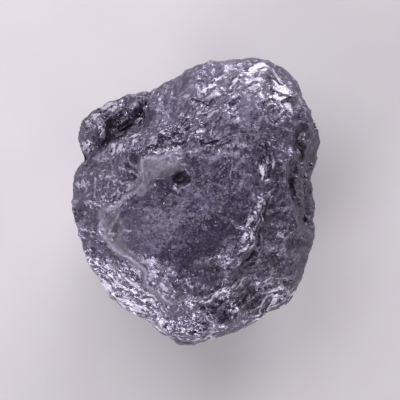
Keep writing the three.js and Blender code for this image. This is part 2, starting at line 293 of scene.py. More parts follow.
@dataclass
class StoneBody:
    """The blunted block under the relief: a core of broad faces and a skirt of lobes.

    Attributes:
        heart_height: from the resting face up to the heart.
        skirt_top: height of the lobes' tops above the heart.
        core_sharpness: how little the core's edges are blunted.
        skirt_sharpness: the same for the rounder lobes.
        girdle: plan of the whole stone.
        core: plan of the core.
    """

    heart_height: float = 3.7
    skirt_top: float = 1.75
    core_sharpness: float = 13.0
    skirt_sharpness: float = 5.0
    girdle: PlanCurve = field(default_factory=lambda: PlanCurve(GIRDLE))
    core: PlanCurve = field(default_factory=lambda: PlanCurve(CORE))

    def __post_init__(self) -> None:
        """Works out how much each azimuth is widened to bring the widest part onto the girdle's plan."""
        azimuths = np.radians(np.arange(0, 360, 0.5))
        elevations = np.radians(np.arange(-40, 51, 2))
        a, e = (x.ravel() for x in np.meshgrid(azimuths, elevations))
        directions = np.stack([np.cos(a) * np.cos(e), np.sin(a) * np.cos(e), np.sin(e)], 1)
        out = (self.radius(directions) * np.cos(e)).reshape(len(elevations), -1)
        self.azimuths = azimuths
        self.widening = self.girdle.radius(azimuths) / out.max(0)

    @staticmethod
    def block(directions: Array, wall: Array, faces: tuple, sharpness: float) -> Array:
        """Radius of a block of faces and an upright wall, with its edges blunted.

        Args:
            directions: unit vectors from the heart.
            wall: the wall's radius in each direction.
            faces: azimuth, elevation and distance of each face.
            sharpness: the power that joins them.

        Returns:
            One radius for each direction.
        """
        total = (np.hypot(directions[:, 0], directions[:, 1]) / wall) ** sharpness
        for azimuth, elevation, distance in faces:
            facing = np.maximum(0.0, directions @ direction_of(azimuth, elevation))
            total += (facing / distance) ** sharpness
        return total ** (-1.0 / sharpness)

    def radius(self, directions: Array) -> Array:
        """Works out the radius of core and skirt, whichever stands out more.

        Args:
            directions: unit vectors from the heart.

        Returns:
            One radius for each direction.
        """
        azimuth = np.arctan2(directions[:, 1], directions[:, 0])
        elevation = np.arcsin(np.clip(directions[:, 2], -1.0, 1.0))
        core_wall = self.core.faded(azimuth, elevation)
        core = self.block(directions, core_wall, UPPER_FACES + LOWER_FACES, self.core_sharpness)
        skirt_faces = (*LOWER_FACES, (0, 90, self.skirt_top))
        skirt_wall = self.girdle.faded(azimuth, elevation)
        skirt = self.block(directions, skirt_wall, skirt_faces, self.skirt_sharpness)
        return np.maximum(core, skirt)

    def points(self, directions: Array) -> Array:
        """Works out the body's surface.

        Args:
            directions: unit vectors from the heart.

        Returns:
            The place of the surface in each direction.
        """
        points = directions * self.radius(directions)[:, None]
        azimuth = np.arctan2(directions[:, 1], directions[:, 0])
        wider = np.interp(azimuth, self.azimuths, self.widening, period=2 * np.pi)
        points[:, :2] *= wider[:, None]
        return points


# ---- Kinds of relief ------------------------------------------------------------------------------------

END_FADE = 0.3  # how far past a course's ends its marks die out
RIM_REACH = 6.0  # wide enough to find the plateau's rim from anywhere on the upper side


@dataclass(frozen=True)
class Course:
    """A line over the stone's upper side.

    Attributes:
        places: the places in plan that it passes through.
        wobble: how far it strays from side to side.
    """

    WOBBLE_SIZE: ClassVar[float] = 0.5
    WOBBLE_SEEDS: ClassVar[tuple[int, int]] = (31, 47)

    places: Plan
    wobble: float = 0.05

    def nearest(self, points: Array, reach: float) -> tuple[Array, Array, Array]:
        """Finds how far each point is from the course in plan.

        Args:
            points: places on the stone.
            reach: how far to look; the distance is endless for points further off.

        Returns:
            The distances, the side (1 on the left, going along, and -1 on the right), and how far each
            point lies past the course's ends.
        """
        line = smooth_line(self.places, closed=False, steps=4)
        low, high = line.min(0) - reach, line.max(0) + reach
        near = np.all((points[:, :2] > low) & (points[:, :2] < high), axis=1) & (points[:, 2] > 0)
        near_points = points[near]
        shift = np.stack([fractal_noise(near_points, self.WOBBLE_SIZE, s) for s in self.WOBBLE_SEEDS], 1)
        flat = near_points[:, :2] + self.wobble * shift
        best = np.full(len(flat), np.inf)
        side, past = np.ones(len(flat)), np.zeros(len(flat))
        last = len(line) - 2
        for number, (start, end) in enumerate(zip(line[:-1], line[1:])):
            along = end - start
            length = np.linalg.norm(along)
            away = flat - start
            travelled = away @ along / length
            share = np.clip(travelled, 0.0, length)
            off = away - share[:, None] * along / length
            distance = np.hypot(off[:, 0], off[:, 1])
            nearer = distance < best
            best = np.where(nearer, distance, best)
            side = np.where(nearer, np.sign(along[0] * away[:, 1] - along[1] * away[:, 0]), side)
            at_end = ((travelled < 0) & (number == 0)) | ((travelled > 0) & (number == last))
            past = np.where(nearer, np.abs(travelled - share) * at_end, past)
        distances, sides = np.full(len(points), np.inf), np.ones(len(points))
        beyond = np.zeros(len(points))
        distances[near], sides[near], beyond[near] = best, side, past
        return distances, sides, beyond


@dataclass(frozen=True)
class Crevice:
    """A groove along a course, with flat sides.

    Attributes:
        course: where it runs.
        width: how wide its right side is, in plan.
        depth: how deep it is.
        slack: how many times wider its left side is.
    """

    course: Course
    width: float
    depth: float
    slack: float = 1.0

    def height(self, points: Array) -> Array:
        """Works out how far the crevice moves each point upwards.

        Args:
            points: places on the stone.

        Returns:
            One height for each point.
        """
        distance, side, _ = self.course.nearest(points, self.width * max(1.0, self.slack) + 0.2)
        share = distance / np.where(side > 0, self.width * self.slack, self.width)
        return -self.depth * np.maximum(0.0, 1.0 - share) ** 1.3


@dataclass(frozen=True)
class Ledge:
    """A step along a course, whose left side stands higher.

    Attributes:
        course: where it runs.
        width: half of the step's width in plan.
        rise: how much higher the ground on its left stands.
        reach: how far from the course the ground comes down again.
        lip: height of the crest on the step's edge.
    """

    course: Course
    width: float
    rise: float
    reach: float
    lip: float = 0.0

    def height(self, points: Array) -> Array:
        """Works out how far the ledge moves each point upwards.

        Args:
            points: places on the stone.

        Returns:
            One height for each point.
        """
        distance, side, past = self.course.nearest(points, 2.5 * self.reach)
        step = smoothstep(-self.width, self.width, side * distance)
        crest = self.lip * np.exp(-(((side * distance - self.width) / self.width) ** 2))
        fade = np.exp(-((distance / self.reach) ** 2))
        return (self.rise * step * fade + crest) * np.exp(-((past / END_FADE) ** 2))


@dataclass(frozen=True)
class Plateau:
    """Ground that stands higher inside a rim, on the rim's left, and comes down slowly towards one side.

    Attributes:
        rim: the line of the step.
        width: half of the step's width in plan.
        rise: height of the step.
        lip: height of the crest on the step's edge.
        azimuth: the way in which the plateau comes down, in degrees.
        full: how far along that way, from the stone's middle, it still has its whole height.
        gone: how far along that way it has none left.
    """

    rim: Course
    width: float
    rise: float
    lip: float
    azimuth: float
    full: float
    gone: float

    def height(self, points: Array) -> Array:
        """Works out how far the plateau moves each point upwards.

        Args:
            points: places on the stone.

        Returns:
            One height for each point.
        """
        distance, side, _ = self.rim.nearest(points, RIM_REACH)
        inside = side * distance
        share = smoothstep(self.gone, self.full, points @ direction_of(self.azimuth, 0.0))
        step = smoothstep(-self.width, self.width, inside)
        crest = np.exp(-(((inside - self.width) / self.width) ** 2))
        return share * (self.rise * step + self.lip * crest)


@dataclass(frozen=True)
class Hollow:
    """A pit in the upper side.

    Attributes:
        x: its place in plan.
        y: its place in plan.
        radius: half of its width.
        depth: how deep it is; a knob's is negative.
        stretch: how many times longer than wide it is.
        turn: the way its length runs, in degrees.
        power: how steep its sides are.
        ragged: how uneven its edge is.
    """

    x: float
    y: float
    radius: float
    depth: float
    stretch: float = 1.0
    turn: float = 0.0
    power: float = 2.4
    ragged: float = 0.3

    def height(self, points: Array) -> Array:
        """Works out how far the hollow moves each point upwards.

        Args:
            points: places on the stone.

        Returns:
            One height for each point.
        """
        a = math.radians(self.turn)
        dx, dy = points[:, 0] - self.x, points[:, 1] - self.y
        along = (dx * math.cos(a) + dy * math.sin(a)) / self.stretch
        across = dy * math.cos(a) - dx * math.sin(a)
        ragged = 1.0 + self.ragged * fractal_noise(points, 0.3, 84, octaves=2)
        distance = np.hypot(along, across) / (self.radius * ragged)
        return -self.depth * np.exp(-(distance**self.power))


def ragged_oval(points: Array, along: Array, across: Array) -> Array:
    """Fades an oval out over a ragged edge.

    Args:
        points: places on the stone.
        along: how far each lies from the oval's centre, in half lengths.
        across: the same in half widths.

    Returns:
        1 well inside the oval, 0 outside and a fade between.
    """
    distance = np.hypot(along, across) + 0.25 * fractal_noise(points, 0.9, 59)
    return smoothstep(1.1, 0.7, distance)


@dataclass(frozen=True)
class Zone:
    """An oval stretch of the upper side.

    Attributes:
        x: its centre in plan.
        y: its centre in plan.
        length: half of its length.
        width: half of its width.
        turn: the way its length runs, in degrees.
    """

    x: float
    y: float
    length: float
    width: float
    turn: float = 0.0

    def weight(self, points: Array) -> Array:
        """Works out how much each point belongs to the zone.

        Args:
            points: places on the stone.

        Returns:
            1 well inside the zone, 0 outside and a ragged fade between.
        """
        a = math.radians(self.turn)
        dx, dy = points[:, 0] - self.x, points[:, 1] - self.y
        along = (dx * math.cos(a) + dy * math.sin(a)) / self.length
        across = (dy * math.cos(a) - dx * math.sin(a)) / self.width
        return ragged_oval(points, along, across) * smoothstep(-0.5, 0.2, points[:, 2])


@dataclass(frozen=True)
class SideZone:
    """An oval stretch of the sides.

    Attributes:
        azimuth: of its centre from the heart, in degrees.
        elevation: of its centre from the heart, in degrees.
        length: half of its length.
        width: half of its width.
        turn: how far its length is turned up from level, in degrees.
    """

    azimuth: float
    elevation: float
    length: float
    width: float
    turn: float = 0.0

    def weight(self, points: Array) -> Array:
        """Works out how much each point belongs to the zone.

        Args:
            points: places on the stone.

        Returns:
            1 well inside the zone, 0 outside and a ragged fade between.
        """
        centre = direction_of(self.azimuth, self.elevation)
        east = direction_of(self.azimuth + 90.0, 0.0)
        north = np.cross(centre, east)
        a = math.radians(self.turn)
        along = points @ (east * math.cos(a) + north * math.sin(a)) / self.length
        across = points @ (north * math.cos(a) - east * math.sin(a)) / self.width
        return ragged_oval(points, along, across) * smoothstep(0.2, 0.6, unit(points) @ centre)


def any_of(zones: tuple["Zone | SideZone", ...], points: Array) -> Array:
    """Returns the greatest weight that any of the zones has at each point."""
    return np.max([zone.weight(points) for zone in zones], axis=0)


@dataclass(frozen=True)
class Crystals:
    """A mosaic of flat facets at many angles, each bevelled down to its seams.

    Attributes:
        size: of one facet.
        slope: its greatest slope.
        rise: how far it may stand proud or sunk, as a share of its size.
        seed: picks another mosaic.
        bevel: width of the seam, as a share of the size.
    """

    size: float
    slope: float
    rise: float
    seed: int
    bevel: float = 0.3

    def height(self, points: Array) -> Array:
        """Works out how far the facets move each point outwards.

        Args:
            points: places on the stone.

        Returns:
            One height for each point.
        """
        p = points / self.size
        cell = np.floor(p)
        near = np.full(len(p), np.inf)
        following = np.full(len(p), np.inf)
        home = np.zeros_like(p)
        seat = np.zeros_like(p)
        for step in np.ndindex(3, 3, 3):
            c = cell + np.array(step) - 1
            place = c + np.stack(scatter(c, self.seed, self.seed + 10, self.seed + 20), 1)
            distance = np.linalg.norm(p - place, axis=1)
            nearer = distance < near
            following = np.where(nearer, near, np.minimum(following, distance))
            home = np.where(nearer[:, None], c, home)
            seat = np.where(nearer[:, None], place, seat)
            near = np.where(nearer, distance, near)
        *tilt, level = scatter(home, *(self.seed + s for s in (30, 40, 50, 60)))
        lean = 2 * self.slope * np.sum((np.stack(tilt, 1) - 0.5) * (p - seat), axis=1)
        offset = self.rise * (2 * level - 1)
        return self.size * smoothstep(0.0, self.bevel, following - near) * (lean + offset)


@dataclass(frozen=True)
class Scoops:
    """Shallow scooped facets that meet in sharp ridges, as where a crystal broke.

    Attributes:
        size: of one facet.
        slope: its greatest slope.
        hollow: how deeply it is scooped out.
        seed: picks another set.
        rise: how far it may stand proud or sunk, as a share of its size.
        grain: azimuth and elevation in degrees along which the facets are drawn out, and how many times
            longer they are.
    """

    size: float
    slope: float
    hollow: float
    seed: int
    rise: float = 0.1
    grain: tuple[float, float, float] = (0.0, 0.0, 1.0)

    def facets(self, points: Array) -> tuple[Array, Array]:
        """Works out the facets.

        Args:
            points: places on the stone.

        Returns:
            How far the facets move each point outwards, and a number from 0 to 1 for the facet it is on.
        """
        p = drawn_out(points, *self.grain) / self.size
        cell = np.floor(p)
        lowest = np.full(len(p), np.inf)
        number = np.zeros(len(p))
        for step in np.ndindex(3, 3, 3):
            c = cell + np.array(step) - 1
            lots = scatter(c, *(self.seed + s for s in (0, 10, 20, 30, 40, 50, 60)))
            away = p - c - np.stack(lots[:3], 1)
            lean = 2 * self.slope * np.sum((np.stack(lots[3:6], 1) - 0.5) * away, axis=1)
            value = self.hollow * np.sum(away * away, axis=1) + lean + self.rise * lots[6]
            number = np.where(value < lowest, lots[6], number)
            lowest = np.minimum(lowest, value)
        return self.size * lowest, number

    def height(self, points: Array) -> Array:
        """Returns how far the facets move each point outwards."""
        return self.facets(points)[0]


@dataclass(frozen=True)
class Swell:
    """A slow wave of the whole surface.

    Attributes:
        along: the direction in which it runs.
        wavelength: from one crest to the next.
        phase: where it starts, in radians.
        amplitude: height of its crests.
    """

    along: tuple[float, float, float]
    wavelength: float
    phase: float
    amplitude: float

    def height(self, points: Array) -> Array:
        """Returns how far the swell moves each point outwards."""
        travelled = points @ np.array(self.along) / self.wavelength
        return self.amplitude * np.sin(2 * np.pi * travelled + self.phase)


@dataclass(frozen=True)
class Terraces:
    """Flat growth steps: a rolling ground cut into levels with sharp, ragged edges.

    Attributes:
        size: over which the ground rolls.
        amplitude: how far it rolls.
        step: height of one level.
        seed: picks another ground.
        grain: azimuth and elevation in degrees along which the steps run, and how many times longer they
            are.
    """

    RISER: ClassVar[tuple[float, float]] = (0.36, 0.64)  # the share of a step's ground that its edge takes

    size: float
    amplitude: float
    step: float
    seed: int
    grain: tuple[float, float, float] = (0.0, 0.0, 1.0)

    def height(self, points: Array) -> Array:
        """Works out how far the steps move each point outwards.

        Args:
            points: places on the stone.

        Returns:
            One height for each point.
        """
        ground = self.amplitude * fractal_noise(drawn_out(points, *self.grain), self.size, self.seed)
        level = np.floor(ground / self.step)
        return self.step * (level + smoothstep(*self.RISER, ground / self.step - level))


@dataclass(frozen=True)
class Chips:
    """Flats where the stone broke along a plane.

    Attributes:
        count: how many places are tried.
        depth: the deepest that a chip cuts into the surface under its middle.
        lean: how far a chip leans from the surface, as a slope.
        bite: the most that a chip may take off anywhere.
        seed: picks other places.
        top: height above the heart up to which chips are tried.
    """

    count: int
    depth: float
    lean: float
    bite: float
    seed: int
    top: float = math.inf

    def cut(self, net: "SurfaceNet", points: Array) -> Array:
        """Cuts the chips.

        Args:
            net: the net that the points are on.
            points: the surface, one row for each direction of the net.

        Returns:
            The surface with the chips off.
        """
        draw = np.random.default_rng(self.seed)
        normals = net.normals(net.smoothed(points, 6))
        radii = np.linalg.norm(points, axis=1)
        directions = points / radii[:, None]
        for place in draw.choice(np.flatnonzero(points[:, 2] < self.top), self.count):
            normal = unit(normals[place] + self.lean * draw.uniform(-1, 1, 3))
            level = points[place] @ normal - self.depth * draw.uniform(0.2, 1.0)
            over = points @ normal - level
            if over.max() > self.bite:
                continue
            facing = np.maximum(directions @ normal, 1e-6)
            radii = np.minimum(radii, np.where(over > 0, level / facing, np.inf))
        return directions * radii[:, None]


@dataclass(frozen=True)
class Streaks:
    """Long, narrow cleavage facets that run one way over a zone.

    Attributes:
        zone: where they are.
        azimuth: the way they run, in degrees.
        size: their width.
        longer: how many times longer than wide they are.
        slope: their greatest slope.
        pale: how pale the brightest of them are, from 0 to 1; painted white, partly as frosted flats and
            partly as painted glints.
        share: how many of them are pale.
        climb: how steeply they run upwards, in degrees.
    """

    zone: Zone | SideZone
    azimuth: float
    size: float
    longer: float
    slope: float
    pale: float
    share: float = 0.4
    climb: float = 0.0

    def relief(self, points: Array) -> tuple[Array, Array]:
        """Works out the streaks.

        Args:
            points: places on the stone.

        Returns:
            How far the streaks move each point outwards, and how pale it is, from 0 to 1.
        """
        weight = self.zone.weight(points)
        here = weight > 0
        seed = int(self.azimuth) % 97  # streaks that run one way are of one set
        grain = (self.azimuth, self.climb, self.longer)
        scoops = Scoops(self.size, self.slope, hollow=0.4, seed=seed, grain=grain)
        height, number = scoops.facets(points[here])
        cloud = 0.2 * fractal_noise(points[here], 0.7, 67)
        brightest = smoothstep(1.0 - self.share, 1.08 - self.share, number + cloud)
        rise, pale = np.zeros(len(points)), np.zeros(len(points))
        rise[here] = weight[here] * height
        pale[here] = self.pale * weight[here] * brightest
        return rise, pale


# ---- Where the relief lies ------------------------------------------------------------------------------

UPPER_LEFT_CREVICE = Course((
    (-4.55, 1.9), (-4.1, 2.15), (-3.65, 2.42), (-3.1, 2.7), (-2.55, 2.95), (-2.2, 3.2), (-2.05, 3.5),
))
LOBE_SEAM = Course(((-2.15, 3.3), (-1.95, 3.7), (-2.02, 4.15), (-1.9, 4.6)), wobble=0.15)
KNOB_VALLEY = Course(((-3.78, 3.4), (-3.62, 3.15), (-3.66, 2.5)), wobble=0.06)
LOBE_FURROW = Course(((-2.95, 4.1), (-2.8, 3.7), (-2.45, 3.45)), wobble=0.1)
RIGHT_CREVICE = Course((
    (4.38, 4.3), (4.36, 3.8), (4.3, 3.2), (4.25, 2.6), (4.3, 2.1), (4.12, 1.5), (3.98, 0.9),
    (3.96, 0.2), (4.1, -0.35), (4.35, -0.6),
), wobble=0.2)
PLATEAU_RIM = Course((
    (0.85, 2.45), (0.2, 2.25), (-0.65, 2.1), (-1.5, 1.87), (-2.2, 1.8), (-2.24, 1.34), (-2.32, 0.92),
    (-2.49, 0.51), (-2.98, 0.18), (-3.23, -0.07), (-3.81, -0.24), (-3.89, -0.73), (-3.85, -1.23),
    (-3.56, -1.64), (-3.15, -1.98), (-2.65, -2.31), (-2.15, -2.72), (-2.11, -3.14), (-1.8, -3.55),
    (-1.08, -3.96), (-0.83, -3.95), (0.17, -3.68), (0.99, -3.4), (1.66, -3.14), (1.74, -2.4),
    (2.1, -1.7), (2.4, -1.05), (2.7, -0.35), (3.0, 0.2),
))
LOWER_RIDGE_LINE = Course((
    (-0.83, -3.95), (0.17, -3.68), (0.99, -3.4), (1.66, -3.14), (2.2, -2.75), (2.5, -2.3),
))
RIGHT_RIDGE_LINE = Course((
    (1.35, -2.95), (1.74, -2.4), (2.1, -1.7), (2.4, -1.05), (2.7, -0.35), (3.0, 0.2),
))
UPPER_LEDGE = Course((
    (-4.5, 1.6), (-3.56, 1.78), (-2.73, 1.95), (-2.2, 2.08), (-1.5, 2.25),
))
KNOB_EDGE = Course(((-3.85, 2.4), (-3.72, 2.8), (-3.7, 3.2), (-3.82, 3.6)))

CREVICES = (
    Crevice(UPPER_LEFT_CREVICE, width=0.3, depth=0.38, slack=1.9),
    Crevice(LOBE_SEAM, width=0.2, depth=0.15, slack=1.5),
    Crevice(KNOB_VALLEY, width=0.12, depth=0.16, slack=4.0),
    Crevice(LOBE_FURROW, width=0.12, depth=0.14, slack=2.0),
    Crevice(Course(((-3.05, 2.72), (-2.85, 2.98), (-2.5, 3.2))), width=0.12, depth=0.2, slack=2.0),
    Crevice(RIGHT_CREVICE, width=0.36, depth=0.2, slack=0.7),
    Crevice(Course(((4.1, 1.35), (4.5, 1.1), (4.8, 1.05))), width=0.16, depth=0.12),
    Crevice(Course(((-0.15, 3.95), (0.2, 3.83), (0.5, 3.8), (0.68, 4.0))), width=0.14, depth=0.14),
    Crevice(Course(((0.25, 2.28), (0.6, 2.33), (0.85, 2.42))), width=0.09, depth=0.18),
    Crevice(Course(((2.55, -0.95), (2.3, -1.6), (1.95, -2.25)), wobble=0.12), width=0.12, depth=0.1),
)
LEDGES = (
    Ledge(LOWER_RIDGE_LINE, width=0.12, rise=0.12, reach=0.4, lip=0.05),
    Ledge(RIGHT_RIDGE_LINE, width=0.14, rise=0.12, reach=0.5, lip=0.05),
    Ledge(UPPER_LEDGE, width=0.06, rise=0.1, reach=0.6, lip=0.04),
    Ledge(KNOB_EDGE, width=0.06, rise=0.22, reach=0.6, lip=0.04),
)

PLATEAU_STEP = Plateau(PLATEAU_RIM, width=0.09, rise=0.46, lip=0.05, azimuth=40, full=-3.0, gone=3.6)

HOLLOWS = (
    # The plateau's largest pit.
    Hollow(-0.64, 1.0, radius=0.27, depth=0.42, stretch=1.2, turn=35, power=3.0),
    Hollow(-0.9, 1.5, radius=0.4, depth=-0.1),
    Hollow(-3.07, 0.22, radius=0.17, depth=0.18, stretch=1.5, turn=20),
    Hollow(-4.47, 0.5, radius=0.2, depth=0.16, turn=40, stretch=1.6),
    Hollow(2.95, -0.5, radius=0.28, depth=0.2, stretch=1.4, turn=70),
    Hollow(2.28, -3.5, radius=0.2, depth=0.2, stretch=1.8, turn=100),
    Hollow(2.85, -2.0, radius=0.17, depth=0.16, stretch=1.5, turn=10),
    Hollow(0.62, -2.5, radius=0.27, depth=0.2, stretch=2.0, turn=-8),
    Hollow(-3.25, 3.15, radius=0.3, depth=0.22, stretch=1.6, turn=35),
    Hollow(1.1, -4.1, radius=0.25, depth=0.12, stretch=1.6, turn=15),
    Hollow(2.66, 1.75, radius=0.14, depth=0.18, stretch=2.2, turn=98),
    Hollow(3.8, -1.5, radius=0.2, depth=0.12, turn=20, stretch=1.6),
    Hollow(1.53, -4.83, radius=0.2, depth=0.14, stretch=1.4, turn=50),
    Hollow(0.66, -4.7, radius=0.18, depth=0.12, stretch=1.5, turn=-20),
    Hollow(0.54, -5.3, radius=0.2, depth=0.1),
    Hollow(-0.79, -5.25, radius=0.14, depth=0.1),
    Hollow(-3.4, -0.7, radius=0.16, depth=0.08, stretch=1.4, turn=60),
    Hollow(-2.78, -1.27, radius=0.17, depth=0.08),
    Hollow(3.15, 4.57, radius=0.26, depth=0.12, turn=-30, stretch=1.5),
    Hollow(0.0, -4.2, radius=0.16, depth=0.1),
    Hollow(-2.55, 0.85, radius=0.42, depth=0.12),
    Hollow(4.4, 2.85, radius=0.25, depth=0.12),
    # The far left knob, and the broad swelling under the plateau's lower left corner.
    Hollow(-4.25, 2.85, radius=0.6, depth=-0.18),
    Hollow(-2.1, -3.1, radius=1.5, depth=-0.24, power=2.0, ragged=0.0),
)

# Broad hollows of the sides: azimuth and elevation in degrees, radius and depth.
SIDE_HOLLOWS = (
    (350, -18, 0.7, 0.24),
    (96, -12, 0.85, 0.26),
    (176, -20, 0.75, 0.22),
    (262, -14, 0.6, 0.22),
    (215, -38, 0.5, 0.2),
    (40, -40, 0.55, 0.2),
)

SWELLS = (
    Swell((0.8, 0.3, 0.52), 4.1, 0.4, 0.055),
    Swell((-0.35, 0.9, 0.26), 3.3, 2.1, 0.05),
    Swell((0.2, -0.45, 0.87), 2.7, 4.4, 0.045),
    Swell((0.6, 0.62, -0.5), 1.9, 1.2, 0.03),
)

# Facets of many angles over the whole stone, the larger ones first, and how much of each the relief takes.
BROAD_FACETS = ((Crystals(1.8, 0.24, 0.06, seed=1), 1.0), (Crystals(0.95, 0.18, 0.08, seed=2), 0.6))

# Small scooped facets, and how much flatter each kind is on calm ground.
FINE_FACETS = (
    (Scoops(0.95, 0.3, 0.3, seed=41), 0.85),
    (Scoops(0.42, 0.3, 0.3, seed=3), 0.88),
    (Scoops(0.19, 0.35, 0.3, seed=4), 0.88),
)
BAND_STEPS = Terraces(0.7, 0.12, 0.05, seed=43, grain=(-20, 0, 2.0))

# Large broken flats below the girdle, then smaller and smaller ones all over.
CHIPS = (
    Chips(90, depth=0.3, lean=0.3, bite=0.5, seed=15, top=-0.6),
    Chips(500, depth=0.09, lean=0.16, bite=0.3, seed=11),
    Chips(700, depth=0.03, lean=0.12, bite=0.12, seed=12),
)


BRIGHT_BAND = Zone(2.85, 4.8, length=1.9, width=0.68, turn=-32)
BRIGHT_FLECKS = Zone(1.2, 4.7, length=1.6, width=0.5, turn=0)
BRIGHT_CORNER = Zone(3.9, 4.25, length=0.7, width=0.5, turn=-50)
LOWER_LEFT_SLOPE = Zone(-3.1, -3.6, length=2.5, width=0.95, turn=-42)
TIP = Zone(-0.25, -5.3, length=1.7, width=0.6, turn=-5)
LOWER_RIDGE = Zone(0.7, -3.6, length=1.7, width=0.26, turn=20)
LOWER_RIGHT_FLAKES = Zone(3.2, -4.0, length=1.2, width=0.7, turn=35)
RIGHT_RIDGE = Zone(2.15, -1.06, length=1.4, width=0.4, turn=62)
RIGHT_STREAKS = Zone(2.8, 1.75, length=1.0, width=0.45, turn=80)
LOWER_RIGHT_SLOPE = Zone(2.9, -2.4, length=2.2, width=1.2, turn=60)
BOTTOM_SLOPE = Zone(1.3, -4.5, length=1.9, width=0.8, turn=20)
UPPER_BAND = Zone(-0.25, 3.0, length=2.8, width=0.75, turn=36)
LEFT_BAND = Zone(-2.8, 2.35, length=1.1, width=0.45, turn=22)
LEFT_GLINT = Zone(-3.3, -0.07, length=0.4, width=0.16, turn=25)
LEAF = Zone(2.62, 1.2, length=0.42, width=0.12, turn=102)
RIDGE_GLINT = Zone(1.0, -2.02, length=0.65, width=0.07, turn=12)
UPRIGHT_FACETS = Zone(-0.1, -3.05, length=0.65, width=0.55)
KNOB_GLINT = Zone(-3.74, 2.92, length=0.4, width=0.09, turn=86)
KNOB_CROWN = Zone(-4.15, 3.2, length=0.55, width=0.3, turn=25)
LOBE_STREAK = Zone(-2.65, 3.3, length=0.55, width=0.12, turn=28)
LOBE_TOP = Zone(-2.6, 3.95, length=0.7, width=0.25, turn=25)
SEAM_STREAK = Zone(-1.45, 4.25, length=0.55, width=0.1, turn=95)
KNOB = Zone(-4.2, 2.9, length=0.7, width=0.7)
PLATEAU = Zone(-0.7, -0.6, length=3.2, width=2.5, turn=45)
LEFT_SHELF = Zone(-3.9, 0.6, length=1.3, width=1.1)
UPPER_RIGHT_SLOPE = Zone(2.4, 2.3, length=2.2, width=1.2, turn=70)
UPPER_LEFT_LOBE = Zone(-3.3, 3.4, length=1.9, width=1.1, turn=28)
RIGHT_LOBES = Zone(4.6, 1.2, length=3.6, width=0.75, turn=88)
CALM_GROUND = Zone(-0.5, -0.9, length=3.6, width=3.0, turn=45)
FRONT_FACE = SideZone(262, -12, length=2.2, width=1.0, turn=8)
RIGHT_FACE = SideZone(342, -22, length=2.4, width=0.9, turn=-10)
BACK_FACE = SideZone(70, -16, length=2.4, width=1.1, turn=12)
LEFT_FACE = SideZone(165, -20, length=2.2, width=1.0, turn=-14)
LOW_FACE = SideZone(210, -40, length=1.8, width=0.8, turn=10)
LOW_RIGHT_FACE = SideZone(305, -42, length=1.6, width=0.7, turn=-8)

# Where the plateau wears a dull, faintly brown skin.
SKIN_PATCHES = (
    Zone(-3.4, -0.9, length=1.05, width=0.5, turn=-75),
    Zone(-1.35, 1.45, length=1.1, width=0.5, turn=5),
    Zone(-2.6, -2.35, length=1.0, width=0.35, turn=-50),
    Zone(-2.15, 0.9, length=0.7, width=0.3, turn=85),
)
